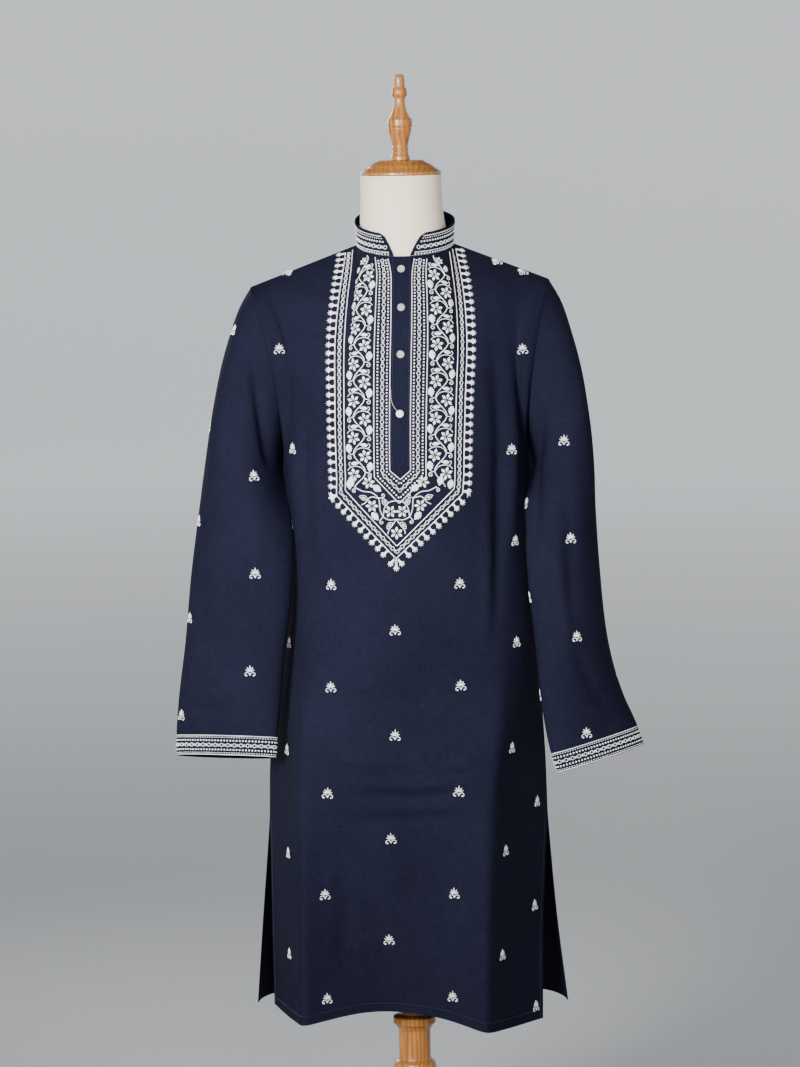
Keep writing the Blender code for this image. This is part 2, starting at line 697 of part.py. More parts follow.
def make_button(button, placket, finish):
    """A round button on the placket, with a raised rim and a dished middle."""
    place = placket_point(placket, 1, button.z)
    low = placket_point(placket, 1, button.z - BUTTON_RADIUS)
    high = placket_point(placket, 1, button.z + BUTTON_RADIUS)
    up = (high - low) / np.linalg.norm(high - low)
    right = placket_point(placket, 2, button.z) - placket_point(placket, 0, button.z)
    right = right - up * (right @ up)
    right = right / np.linalg.norm(right)
    out = np.cross(right, up)
    sides = (placket_point(placket, 0, button.z) + placket_point(placket, 2, button.z)) / 2
    proud = max(0, (low - place) @ out, (sides - place) @ out * BUTTON_RADIUS / PLACKET_HALF_WIDTH)
    obj = revolve(button.name, BUTTON_PROFILE, finish, steps=16)
    seat = place + out * (SEAT_GAP + proud)
    for vertex in obj.data.vertices:
        a, b, c = vertex.co
        vertex.co = seat + right * a + up * b + out * c
    obj.data.update()
    return obj


def form_section(column, row, front):
    """A point of the form below the chest, on a smooth oval."""
    turn = abs(column) * math.pi / 2
    side = 1 if column >= 0 else -1
    depth = row.front if front else row.back
    return np.array(
        [
            FORM_SHIFT + side * row.half_width * math.sin(turn),
            FORM_SIDE_Y + (depth - FORM_SIDE_Y) * max(math.cos(turn), 0) ** ROUNDNESS,
            row.z,
        ]
    )


def form_grid(front):
    """The form's outer points behind one panel: an oval below, then the panel moved in."""
    order = columns(FORM_STEPS) if front else columns(FORM_STEPS)[::-1]
    rows = [[form_section(c, row, front) for c in order] for row in FORM_SECTIONS]
    panel = panel_points(front, FORM_STEPS)
    normals = panel_normals(panel, FORM_STEPS)
    first = SKIRT_STEPS + HIP_STEPS
    shares = (0.0,) + YOKE_ROWS
    for index, share in enumerate(shares):
        seat = WALL + FORM_SEAT
        gap = seat + (FORM_CHEST_GAP - seat) * (1 - share) ** 1.3
        middle = (NECK_COLUMN + SHOULDER_COLUMN) / 2
        near = np.clip((np.abs(order) - middle) / (SHOULDER_COLUMN - NECK_COLUMN), 0, 1)
        gaps = gap + ARMHOLE_CLEAR * near * share
        rows.append(list(panel[first + index] - normals[first + index] * gaps[:, None]))
    return np.array(rows)


def join_seams(front, back):
    """Gives the two halves of the form the same points along their shared edges."""
    flipped = back[:, ::-1]
    for column in (0, front.shape[1] - 1):
        shared = (front[:, column] + flipped[:, column]) / 2
        front[:, column] = shared
        flipped[:, column] = shared
    for index, place in enumerate(columns(FORM_STEPS)):
        if on_shoulder_seam(place):
            shared = (front[-1, index] + flipped[-1, index]) / 2
            front[-1, index] = shared
            flipped[-1, index] = shared


def boundary_loops(mesh):
    """The open edges of a mesh, as lists of vertices in order."""
    open_edges = {e for e in mesh.edges if e.is_boundary}
    loops = []
    while open_edges:
        edge = open_edges.pop()
        loop = [edge.verts[0], edge.verts[1]]
        while True:
            step = next((e for e in loop[-1].link_edges if e in open_edges), None)
            if step is None:
                break
            open_edges.remove(step)
            loop.append(step.other_vert(loop[-1]))
        loops.append(loop[:-1])
    return loops


def fan(mesh, loop, centre):
    tip = mesh.verts.new(centre)
    for a, b in zip(loop, loop[1:] + loop[:1]):
        mesh.faces.new((a, b, tip))


def raise_neck(mesh, loop, centre):
    """The neck: a step in from the neckline, then a straight round column, closed on top."""
    rings = []
    step_in = [centre + (v.co - centre) * NECK_STEP_IN for v in loop]
    rings.append([(p.x, p.y, v.co.z) for p, v in zip(step_in, loop)])
    for z in (NECK_FOOT, NECK_TOP):
        turns = [math.atan2(p.y - centre.y, p.x - centre.x) for p in step_in]
        rings.append([(NECK_RADIUS * math.cos(a), NECK_RADIUS * math.sin(a), z) for a in turns])
    for ring in rings:
        made = [mesh.verts.new(p) for p in ring]
        for i in range(len(loop)):
            after = (i + 1) % len(loop)
            mesh.faces.new((loop[i], loop[after], made[after], made[i]))
        loop = made
    fan(mesh, loop, (0, 0, NECK_TOP))


def make_form(finish):
    """The padded torso with its neck: one smooth body, closed at the armholes, neck and bottom."""
    front = form_grid(True)
    back = form_grid(False)
    join_seams(front, back)
    mesh = bmesh.new()
    for grid in (front, back):
        made = [[mesh.verts.new(p) for p in row] for row in grid]
        for low, high in zip(made, made[1:]):
            for column in range(len(low) - 1):
                mesh.faces.new((low[column], low[column + 1], high[column + 1], high[column]))
    bmesh.ops.remove_doubles(mesh, verts=mesh.verts[:], dist=0.00002)
    for loop in boundary_loops(mesh):
        centre = sum((v.co for v in loop), loop[0].co * 0) / len(loop)
        if abs(centre.x) < 0.1 and centre.z > CHEST:
            raise_neck(mesh, loop, centre)
        elif centre.z > CHEST:
            fan(mesh, loop, (centre.x - math.copysign(ARMHOLE_DISH, centre.x), centre.y, centre.z))
        else:
            fan(mesh, loop, (0, 0, TORSO_BOTTOM))
    bmesh.ops.recalc_face_normals(mesh, faces=mesh.faces[:])
    data = bpy.data.meshes.new("form_torso")
    mesh.to_mesh(data)
    mesh.free()
    data.materials.append(finish)
    data.shade_smooth()
    data.set_sharp_from_angle(angle=math.radians(50))
    obj = bpy.data.objects.new("form_torso", data)
    bpy.context.scene.collection.objects.link(obj)


def make_stand(wood):
    revolve("neck_cap", CAP_PROFILE, wood)
    revolve("finial", FINIAL_PROFILE, wood, steps=18)
    revolve("pole", POLE_PROFILE, wood)
    revolve("base", BASE_PROFILE, wood, steps=36)


def main():
    clear_scene()
    navy = material("navy_cloth", (0.011, 0.014, 0.034), 0.85)
    pearl = material("pearl", (0.80, 0.79, 0.74), 0.30)
    cream = material("cream_jersey", (0.72, 0.66, 0.54), 0.80)
    wood = material("varnished_wood", (0.55, 0.27, 0.08), 0.30)
    grids = make_panels(navy)
    make_sleeve("sleeve_left", -1, LEFT_SLEEVE, navy)
    make_sleeve("sleeve_right", 1, RIGHT_SLEEVE, navy)
    make_collar(navy)
    placket = make_placket(grids["front"], navy)
    for button in BUTTONS:
        make_button(button, placket, pearl)
    make_form(cream)
    make_stand(wood)


main()
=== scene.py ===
# %% [markdown]
# # A long kurta on a limbless dress form
#
# The kurta is a knee-length shirt of navy cloth with a band collar, a buttoned front opening and
# slits at both sides. White embroidery frames the opening, the collar and the cuffs, and small
# sprigs are scattered over the rest. It hangs on a padded torso with a turned wooden stand.
#
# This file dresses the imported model. It loads the solids as a fixed frame, builds each cloth piece
# again as a thin, finely divided shell on the same curves, lays the stitches on those shells, and
# gives every surface a finish made of nodes.

# %% Load the frame and keep its size
import json
import math
from collections import namedtuple

import bmesh
import bpy
import numpy as np
from mathutils import Matrix, Vector
from mathutils.bvhtree import BVHTree
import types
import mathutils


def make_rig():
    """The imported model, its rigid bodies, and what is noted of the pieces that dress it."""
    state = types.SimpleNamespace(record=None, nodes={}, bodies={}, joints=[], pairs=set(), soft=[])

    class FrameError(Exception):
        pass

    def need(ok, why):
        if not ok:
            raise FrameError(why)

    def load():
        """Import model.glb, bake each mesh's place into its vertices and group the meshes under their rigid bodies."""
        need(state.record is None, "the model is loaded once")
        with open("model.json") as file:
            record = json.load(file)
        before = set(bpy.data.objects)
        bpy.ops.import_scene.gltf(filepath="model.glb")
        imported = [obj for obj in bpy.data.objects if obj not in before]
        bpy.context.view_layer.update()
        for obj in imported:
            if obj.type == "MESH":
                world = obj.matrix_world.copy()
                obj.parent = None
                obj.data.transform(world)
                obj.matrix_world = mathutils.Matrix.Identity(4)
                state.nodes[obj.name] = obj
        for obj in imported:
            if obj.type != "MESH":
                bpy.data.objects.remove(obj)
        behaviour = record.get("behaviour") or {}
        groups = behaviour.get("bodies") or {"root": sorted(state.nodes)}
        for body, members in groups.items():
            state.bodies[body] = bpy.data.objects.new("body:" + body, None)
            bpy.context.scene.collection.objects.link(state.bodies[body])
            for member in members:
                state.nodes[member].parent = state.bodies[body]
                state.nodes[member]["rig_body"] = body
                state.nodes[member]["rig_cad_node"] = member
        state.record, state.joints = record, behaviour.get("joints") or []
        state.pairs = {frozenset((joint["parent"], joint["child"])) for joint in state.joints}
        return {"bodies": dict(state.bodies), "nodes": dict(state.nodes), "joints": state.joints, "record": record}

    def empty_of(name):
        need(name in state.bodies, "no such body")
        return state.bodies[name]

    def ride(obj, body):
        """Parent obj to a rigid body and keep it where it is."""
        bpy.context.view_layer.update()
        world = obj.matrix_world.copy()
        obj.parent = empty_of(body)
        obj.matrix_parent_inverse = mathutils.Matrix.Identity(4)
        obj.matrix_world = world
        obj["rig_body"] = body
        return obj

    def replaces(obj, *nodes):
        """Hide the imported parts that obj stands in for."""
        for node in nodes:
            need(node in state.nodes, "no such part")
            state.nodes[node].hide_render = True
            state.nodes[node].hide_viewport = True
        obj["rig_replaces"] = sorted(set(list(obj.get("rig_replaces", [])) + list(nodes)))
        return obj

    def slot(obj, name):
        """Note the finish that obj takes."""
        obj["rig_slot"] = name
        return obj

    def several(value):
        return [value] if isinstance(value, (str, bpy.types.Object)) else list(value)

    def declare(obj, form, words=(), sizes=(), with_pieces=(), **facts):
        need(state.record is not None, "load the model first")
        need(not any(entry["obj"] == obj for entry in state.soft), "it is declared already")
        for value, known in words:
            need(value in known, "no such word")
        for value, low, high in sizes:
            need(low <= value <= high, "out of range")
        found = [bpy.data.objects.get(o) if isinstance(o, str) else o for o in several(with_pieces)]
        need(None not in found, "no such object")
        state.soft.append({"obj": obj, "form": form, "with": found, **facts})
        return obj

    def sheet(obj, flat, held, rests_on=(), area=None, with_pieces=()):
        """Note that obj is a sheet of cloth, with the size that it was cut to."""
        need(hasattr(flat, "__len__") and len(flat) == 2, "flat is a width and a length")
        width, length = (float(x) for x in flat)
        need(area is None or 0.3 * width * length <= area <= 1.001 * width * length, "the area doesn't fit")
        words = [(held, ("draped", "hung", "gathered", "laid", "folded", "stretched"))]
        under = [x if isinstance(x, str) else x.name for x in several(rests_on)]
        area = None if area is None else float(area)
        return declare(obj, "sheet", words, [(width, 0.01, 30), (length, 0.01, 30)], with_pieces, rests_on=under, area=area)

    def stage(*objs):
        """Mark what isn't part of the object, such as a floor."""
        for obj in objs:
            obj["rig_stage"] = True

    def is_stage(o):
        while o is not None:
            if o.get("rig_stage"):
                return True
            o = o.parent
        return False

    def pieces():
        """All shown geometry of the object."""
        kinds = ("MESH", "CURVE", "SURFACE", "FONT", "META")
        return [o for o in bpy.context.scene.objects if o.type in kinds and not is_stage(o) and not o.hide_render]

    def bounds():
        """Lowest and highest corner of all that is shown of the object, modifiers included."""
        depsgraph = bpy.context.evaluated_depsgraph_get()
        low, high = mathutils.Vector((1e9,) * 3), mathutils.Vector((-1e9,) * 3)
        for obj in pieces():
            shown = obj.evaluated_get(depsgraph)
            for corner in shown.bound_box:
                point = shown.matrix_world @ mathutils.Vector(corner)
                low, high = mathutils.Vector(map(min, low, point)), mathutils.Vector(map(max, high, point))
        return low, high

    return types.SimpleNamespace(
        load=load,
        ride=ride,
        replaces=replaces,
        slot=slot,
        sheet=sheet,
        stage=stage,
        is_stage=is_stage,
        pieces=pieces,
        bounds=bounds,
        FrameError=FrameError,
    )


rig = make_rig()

for left_over in list(bpy.data.objects):
    bpy.data.objects.remove(left_over, do_unlink=True)
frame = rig.load()
CAD_LOW, CAD_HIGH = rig.bounds()
print("frame nodes:", sorted(frame["nodes"]))
print("frame height, m:", round(CAD_HIGH.z - CAD_LOW.z, 3))

# %% [markdown]
# ## The camera
# A photograph of clothes is taken from far away with a long lens, so that the hem and the shoulders
# keep their proportions. A camera could be aimed with a constraint. Here its three axes are worked
# out instead, because the picture also leans by about one degree, and a matrix holds that exactly.

# %% Place the camera
CAMERA_PLACE = Vector((-0.0095, -6.2, 1.80))
AIM_HEIGHT = 1.09
CAMERA_ROLL = math.radians(0.95)
CAMERA_LENS = 143.5
SENSOR = 36.0


def camera_matrix():
    """The camera's axes: level across, pitched down to the aim, then rolled."""
    pitch = math.atan2(CAMERA_PLACE.z - AIM_HEIGHT, -CAMERA_PLACE.y)
    forward = Vector((0, math.cos(pitch), -math.sin(pitch)))
    level = Vector((1, 0, 0))
    upright = level.cross(forward)
    right = level * math.cos(CAMERA_ROLL) - upright * math.sin(CAMERA_ROLL)
    up = upright * math.cos(CAMERA_ROLL) + level * math.sin(CAMERA_ROLL)
    turn = Matrix((right, up, -forward)).transposed()
    return Matrix.Translation(CAMERA_PLACE) @ turn.to_4x4()


camera_data = bpy.data.cameras.new("camera")
camera_data.lens = CAMERA_LENS
camera_data.sensor_width = SENSOR
camera = bpy.data.objects.new("camera", camera_data)
bpy.context.scene.collection.objects.link(camera)
camera.matrix_world = camera_matrix()
bpy.context.scene.camera = camera
print("camera at", [round(v, 3) for v in camera.location], "lens", CAMERA_LENS)

# %% [markdown]
# ## The garment's sizes
# A tailor drafts a kurta from a few measures: chest, shoulders, armholes, neck and hem. The tables
# below hold those measures at a few heights, the same ones that the solids were built from. Reading
# them as smooth curves gives a surface at any fineness, which a subdivided copy of the coarse solid
# would not, because subdivision would round off the seams and the hem's corners.

# %% Heights, armholes, neckline and collar
CHEST = 1.186
SLIT_TOP = 0.667
UNDERARM = 1.222
SHOULDER = 1.458
TORSO_BOTTOM = 0.700
NECK_TOP = 1.6147
CAP_TOP = 1.6355
FINIAL_TOP = 1.760
POLE_FLANGE = 0.369
POLE_BEAD = 0.2915
SEAM_GAP = 0.0003
SEAT_GAP = 0.0004
SOLID_WALL = 0.0015
CLOTH = 0.0008

ARMHOLE_X = 0.1975
ARMHOLE_LEAN = 0.019
ARMHOLE_FRONT = 0.068
ARMHOLE_BACK = 0.074
ARMHOLE_SCOOP = 0.008
ARMHOLE_SLANT = math.radians(9)
SHOULDER_SHIFT = -0.004
SHOULDER_TILT = 0.0025

NECKLINE_HALF_WIDTH = 0.0705
NECKLINE_FRONT = -0.074
NECKLINE_BACK = 0.080
NECKLINE_FRONT_Z = 1.500
NECKLINE_BACK_Z = 1.528
NECKLINE_SHIFT_FRONT = -0.0015
NECKLINE_SHIFT_SIDE = 0.005
NECK_RADIUS = 0.0590

COLLAR_HEIGHT_FRONT = 0.031
COLLAR_HEIGHT_BACK = 0.038
COLLAR_FLARE = 0.0025
COLLAR_FRONT_LEAN = 0.007

# Columns of a panel, as shares of the half panel from its centre line to its side seam
NECK_COLUMN = 0.36
SHOULDER_COLUMN = 0.66
LEFT_FOLD_COLUMN = -0.48
RIGHT_FOLD_COLUMN = 0.54
ROUNDNESS = 0.8
HOLLOW = 1.6
print("chest at", CHEST, "slits up to", SLIT_TOP)

# %% The body's measures at its heights
Side = namedtuple("Side", "z left right seam_y")
SIDE_SEAMS = (
    Side(0.360, -0.2245, 0.2185, 0.010),
    Side(0.520, -0.2170, 0.2075, 0.011),
    Side(0.667, -0.2095, 0.2025, 0.012),
    Side(0.760, -0.2065, 0.2000, 0.012),
    Side(0.850, -0.1960, 0.1950, 0.010),
    Side(0.950, -0.1810, 0.1890, 0.008),
    Side(1.050, -0.1740, 0.1820, 0.006),
    Side(1.120, -0.1740, 0.1820, 0.005),
    Side(1.186, -0.1790, 0.1815, 0.004),
)

Centre = namedtuple("Centre", "z x front back fold")
CENTRE_LINES = (
    Centre(0.360, -0.0345, -0.098, 0.160, 1.0),
    Centre(0.520, -0.0345, -0.112, 0.154, 1.0),
    Centre(0.667, -0.0290, -0.129, 0.146, 1.0),
    Centre(0.760, -0.0230, -0.136, 0.142, 0.85),
    Centre(0.850, -0.0200, -0.133, 0.134, 0.45),
    Centre(0.950, -0.0190, -0.131, 0.118, 0.08),
    Centre(1.050, -0.0175, -0.132, 0.108, 0.0),
    Centre(1.120, -0.0120, -0.135, 0.110, 0.0),
    Centre(1.186, -0.0080, -0.138, 0.116, 0.0),
)

Fold = namedtuple("Fold", "z left_x left_y right_x right_y")
FRONT_FOLDS = (
    Fold(0.360, -0.1640, -0.146, 0.1085, -0.150),
    Fold(0.520, -0.1630, -0.142, 0.1110, -0.147),
    Fold(0.667, -0.1610, -0.136, 0.1165, -0.142),
    Fold(0.850, -0.1580, -0.121, 0.1230, -0.130),
    Fold(0.950, -0.1350, -0.105, 0.1250, -0.110),
    Fold(1.186, -0.1300, -0.100, 0.1300, -0.100),
)

# How far each lower corner has swung from the side seam's line at the hem
Corner = namedtuple("Corner", "x y")
CORNERS = {
    ("front", -1): Corner(0.016, -0.014),
    ("front", 1): Corner(-0.026, -0.036),
    ("back", -1): Corner(-0.010, 0.020),
    ("back", 1): Corner(0.013, 0.012),
}

Hem = namedtuple("Hem", "column front back")
HEM_LINE = (
    Hem(-1.00, 0.391, 0.385),
    Hem(-0.48, 0.389, 0.384),
    Hem(-0.10, 0.399, 0.386),
    Hem(0.25, 0.392, 0.386),
    Hem(0.54, 0.376, 0.384),
    Hem(1.00, 0.368, 0.383),
)
WAVE_TOP = 0.95
BACK_WAVE = 0.011
BACK_WAVES = 2.5

# The direction in which the cloth arrives at the top edge, away from the centre line
Arrival = namedtuple("Arrival", "column out back up")
FRONT_ARRIVAL = (
    Arrival(0.000, 0.00, 0.45, 0.89),
    Arrival(0.360, -0.02, 0.80, 0.60),
    Arrival(0.660, 0.50, 0.72, 0.24),
    Arrival(0.745, 0.60, 0.45, 0.36),
    Arrival(0.830, 0.42, 0.22, 0.85),
    Arrival(1.000, 0.08, 0.00, 1.00),
)
BACK_ARRIVAL = (
    Arrival(0.000, 0.00, -0.42, 0.91),
    Arrival(0.360, -0.02, -0.80, 0.60),
    Arrival(0.660, 0.50, -0.72, 0.24),
    Arrival(0.745, 0.60, -0.45, 0.36),
    Arrival(0.830, 0.42, -0.22, 0.85),
    Arrival(1.000, 0.08, 0.00, 1.00),
)
RISE_SHARE = 0.40
ARRIVE_SHARE = 0.36
print("side seam heights:", [row.z for row in SIDE_SEAMS])

# %% The sleeves' sections
# Each row is a sleeve's outer and inner edge, how far it bulges to the front and to the back, how
# much the front of the section is raised, and the height of the ridge near the armhole
Sleeve = namedtuple("Sleeve", "out_x out_y out_z in_x in_y in_z front back lift ridge")
LEFT_SLEEVE = (
    Sleeve(0.2360, 0.000, 1.428, 0.1810, -0.010, 1.196, 0.066, 0.064, 0.000, 0.004),
    Sleeve(0.2500, 0.000, 1.380, 0.1775, -0.032, 1.164, 0.062, 0.048, 0.000, 0.008),
    Sleeve(0.2690, 0.000, 1.292, 0.1710, -0.060, 1.128, 0.058, 0.030, 0.000, 0.008),
    Sleeve(0.2840, 0.000, 1.212, 0.1665, -0.074, 1.090, 0.055, 0.030, 0.000, 0.005),
    Sleeve(0.2985, -0.004, 1.130, 0.1665, -0.082, 1.048, 0.050, 0.028, 0.000, 0.000),
    Sleeve(0.3110, -0.012, 1.052, 0.1700, -0.087, 1.004, 0.046, 0.027, 0.000, 0.000),
    Sleeve(0.3245, -0.024, 0.938, 0.1810, -0.094, 0.920, 0.038, 0.026, 0.001, 0.000),
    Sleeve(0.3367, -0.036, 0.852, 0.1885, -0.100, 0.846, 0.031, 0.024, 0.003, 0.000),
    Sleeve(0.3408, -0.045, 0.803, 0.1935, -0.104, 0.800, 0.027, 0.022, 0.005, 0.000),
    Sleeve(0.3413, -0.048, 0.774, 0.1952, -0.105, 0.7775, 0.026, 0.022, 0.006, 0.000),
)
RIGHT_SLEEVE = (
    Sleeve(0.2290, 0.000, 1.430, 0.1840, -0.008, 1.198, 0.068, 0.070, 0.000, 0.002),
    Sleeve(0.2370, 0.000, 1.384, 0.1810, -0.030, 1.166, 0.064, 0.052, 0.000, 0.005),
    Sleeve(0.2480, 0.003, 1.292, 0.1775, -0.056, 1.134, 0.060, 0.032, 0.000, 0.006),
    Sleeve(0.2560, 0.004, 1.212, 0.1775, -0.074, 1.100, 0.056, 0.026, 0.000, 0.004),
    Sleeve(0.2635, 0.000, 1.130, 0.1765, -0.086, 1.062, 0.052, 0.026, 0.000, 0.000),
    Sleeve(0.2700, -0.004, 1.050, 0.1790, -0.093, 1.018, 0.048, 0.026, 0.000, 0.000),
    Sleeve(0.2855, -0.014, 0.930, 0.1875, -0.100, 0.930, 0.042, 0.026, 0.001, 0.000),
    Sleeve(0.3095, -0.026, 0.855, 0.1935, -0.105, 0.848, 0.034, 0.025, 0.003, 0.000),
    Sleeve(0.3310, -0.036, 0.808, 0.2045, -0.108, 0.782, 0.029, 0.024, 0.005, 0.000),
    Sleeve(0.3420, -0.040, 0.7775, 0.2142, -0.110, 0.7495, 0.027, 0.023, 0.006, 0.000),
)
RIDGE_ANGLE = math.radians(58)
RIDGE_SPREAD = math.radians(24)
print("sleeve sections:", len(LEFT_SLEEVE), len(RIGHT_SLEEVE))

# %% Read a table as a smooth curve


def smooth_run(keys, values, place, slopes=None):
    """A smooth curve through values at their keys, read at other places."""
    keys, values = np.asarray(keys), np.asarray(values)
    slopes = np.gradient(values, keys, axis=0) if slopes is None else slopes
    place = np.clip(place, keys[0], keys[-1])
    i = np.clip(np.searchsorted(keys, place, side="right") - 1, 0, len(keys) - 2)
    shape = np.shape(i) + (1,) * (values.ndim - 1)
    span = (keys[i + 1] - keys[i]).reshape(shape)
    t = (place - keys[i]).reshape(shape) / span
    rise = (2 * t**3 - 3 * t**2 + 1) * values[i] + (3 * t**2 - 2 * t**3) * values[i + 1]
    bend = (t**3 - 2 * t**2 + t) * slopes[i] + (t**3 - t**2) * slopes[i + 1]
    return rise + bend * span


def read(rows, column, place):
    """A smooth curve through one column of a table, read at many places along its first column."""
    return smooth_run([row[0] for row in rows], [getattr(row, column) for row in rows], place)


def unit(vectors):
    """The same directions, each with a length of one."""
    return vectors / np.linalg.norm(vectors, axis=-1, keepdims=True)


def chord_lengths(points):
    """How far each point of a path lies from its first one, along the path."""
    return np.concatenate([[0], np.cumsum(np.linalg.norm(np.diff(points, axis=0), axis=-1))])


print("half width at 1.0 m:", round(float(read(SIDE_SEAMS, "right", 1.0)), 4))

# %% Points of the armhole, the neckline and the top edge


def whole_turn(count):
    """Evenly spaced angles round a circle."""
    return np.arange(count) * 2 * math.pi / count


def stack(x, y, z):
    """Points from their coordinates."""
    return np.stack(np.broadcast_arrays(x, y, z), axis=-1)


def armhole_point(side, angle):
    """Points of the armhole: 0 is the shoulder, a quarter turn the front, half a turn the underarm."""
    top = (1 + np.cos(angle)) / 2
    middle = (SHOULDER + UNDERARM) / 2
    x = ARMHOLE_X + ARMHOLE_LEAN * np.cos(angle) - ARMHOLE_SCOOP * np.sin(angle) ** 2
    depth = np.where(np.sin(angle) > 0, ARMHOLE_FRONT, ARMHOLE_BACK)
    z = middle + (SHOULDER - middle) * np.cos(angle)
    y = -depth * np.sin(angle) + SIDE_SEAMS[-1].seam_y * (1 - top)
    return stack(side * x + SHOULDER_SHIFT * top, y, z + side * SHOULDER_TILT * top)


def armhole_axis(side):
    """The direction in which a sleeve leaves its armhole."""
    return np.array([side * math.cos(ARMHOLE_SLANT), 0, -math.sin(ARMHOLE_SLANT)])


def neckline_point(angle):
    """Points of the neckline: 0 is the centre front, and the angle grows towards +X."""
    shift = NECKLINE_SHIFT_FRONT + (NECKLINE_SHIFT_SIDE - NECKLINE_SHIFT_FRONT) * np.abs(np.sin(angle))
    forward = (1 + np.cos(angle)) / 2
    return stack(
        shift + NECKLINE_HALF_WIDTH * np.sin(angle),
        NECKLINE_BACK + (NECKLINE_FRONT - NECKLINE_BACK) * forward,
        NECKLINE_BACK_Z + (NECKLINE_FRONT_Z - NECKLINE_BACK_Z) * forward,
    )


def top_edge(column, front):
    """A panel's top edge: up the armhole, along the shoulder seam and round the neck."""
    side = np.where(column >= 0, 1.0, -1.0)
    reach = np.abs(column)
    around = math.pi * np.clip((reach - SHOULDER_COLUMN) / (1 - SHOULDER_COLUMN), 0, 1)
    armhole = armhole_point(side, around if front else -around)
    share = np.clip((reach - NECK_COLUMN) / (SHOULDER_COLUMN - NECK_COLUMN), 0, 1)[..., None]
    neck = neckline_point(side * math.pi / 2)
    shoulder = neck + (armhole_point(side, 0 * reach) - neck) * share
    angle = side * (math.pi / 2) * np.clip(reach / NECK_COLUMN, 0, 1)
    throat = neckline_point(angle if front else math.pi - angle)
    seam = np.where((reach >= NECK_COLUMN)[..., None], shoulder, throat)
    return np.where((reach >= SHOULDER_COLUMN)[..., None], armhole, seam)


print("shoulder point:", armhole_point(1, 0.0).round(4))

# %% Points of the body below the chest


def round_section(column, z, front):
    """The cloth's section at a height where it lies round the body."""
    middle = read(CENTRE_LINES, "x", z)
    edge = np.where(column >= 0, read(SIDE_SEAMS, "right", z), read(SIDE_SEAMS, "left", z))
    seam_y = read(SIDE_SEAMS, "seam_y", z)
    depth = read(CENTRE_LINES, "front" if front else "back", z)
    turn = np.abs(column) * math.pi / 2
    x = middle + (edge - middle) * np.sin(turn)
    y = seam_y + (depth - seam_y) * np.clip(np.cos(turn), 0, 1) ** ROUNDNESS
    return x, y


def folded_section(column, z):
    """The front's section lower down: flat or hollow between two folds, then turned back."""
    seam_y = read(SIDE_SEAMS, "seam_y", z)
    middle_x = read(CENTRE_LINES, "x", z)
    middle_y = read(CENTRE_LINES, "front", z)
    right = column >= 0
    fold = np.where(right, RIGHT_FOLD_COLUMN, LEFT_FOLD_COLUMN)
    fold_x = np.where(right, read(FRONT_FOLDS, "right_x", z), read(FRONT_FOLDS, "left_x", z))
    fold_y = np.where(right, read(FRONT_FOLDS, "right_y", z), read(FRONT_FOLDS, "left_y", z))
    edge_x = np.where(right, read(SIDE_SEAMS, "right", z), read(SIDE_SEAMS, "left", z))
    inner = np.clip(column / fold, 0, 1)
    outer = np.clip((np.abs(column) - np.abs(fold)) / (1 - np.abs(fold)), 0, 1)
    x = middle_x + (fold_x - middle_x) * inner + (edge_x - fold_x) * outer
    y = middle_y + (fold_y - middle_y) * inner**HOLLOW + (seam_y - fold_y) * outer
    return x, y


def skirt_point(column, z, front):
    """Points of a panel below the chest."""
    x, y = round_section(column, z, front)
    drop = np.clip((WAVE_TOP - z) / (WAVE_TOP - HEM_LINE[0].back), 0, 2)
    if front:
        fold = np.clip(read(CENTRE_LINES, "fold", z), 0, 1)
        fold_x, fold_y = folded_section(column, z)
        x = x * (1 - fold) + fold_x * fold
        y = y * (1 - fold) + fold_y * fold
    else:
        y = y + BACK_WAVE * drop * np.cos(column * BACK_WAVES * math.pi) * (1 - np.abs(column) ** 4)
    swing = np.clip((SLIT_TOP - z) / (SLIT_TOP - HEM_LINE[0].back), 0, 2) * np.abs(column) ** 3
    panel = "front" if front else "back"
    right = column > 0
    x = x + swing * np.where(right, CORNERS[panel, 1].x, CORNERS[panel, -1].x)
    y = y + swing * np.where(right, CORNERS[panel, 1].y, CORNERS[panel, -1].y)
    return stack(x, y, z)


print("centre front at the hem:", skirt_point(np.array(0.0), HEM_LINE[2].front, True).round(4))


# %% Points of the body above the chest
def yoke_point(column, share, front):
    """Points of a panel above the chest, on curves that rise from it and arrive at the top edge."""
    side = np.where(column >= 0, 1.0, -1.0)
    start = skirt_point(column, CHEST + 0 * column, front)
    end = top_edge(column, front)
    rows = FRONT_ARRIVAL if front else BACK_ARRIVAL
    out, back, up = (read(rows, name, np.abs(column)) for name in ("out", "back", "up"))
    arrive = unit(stack(side * out, back, up))
    length = np.linalg.norm(end - start, axis=-1, keepdims=True)
    first = start + np.array([0, 0, RISE_SHARE]) * length
    second = end - arrive * ARRIVE_SHARE * length
    t = np.asarray(share)[..., None]
    rise = (1 - t) ** 3 * start + 3 * (1 - t) ** 2 * t * first
    return rise + 3 * (1 - t) * t**2 * second + t**3 * end


print("centre front at the chest:", skirt_point(np.array(0.0), CHEST, True).round(4))

# %% [markdown]
# ## Cloth shells
# Woven cloth is a thin sheet, so each piece is a grid of points with a second grid just inside it.
# A Solidify modifier could make the second layer, but a grid that is kept in Python can be asked for
# the point and the direction out of the cloth at any place, and the embroidery needs both.
#
# The sheets join at seams with a corner, and a corner's curve would run down the cloth as a faint
# line. Real cloth relaxes, so every row is smoothed along its length, less and less towards the
# seam at the top. The smoothing goes forward and then back a little, which takes out the small
# bends, softens the folds and keeps the size.

# %% Grids, their directions and their smoothing
SMOOTH_FORWARD = 0.5
SMOOTH_BACK = -0.51


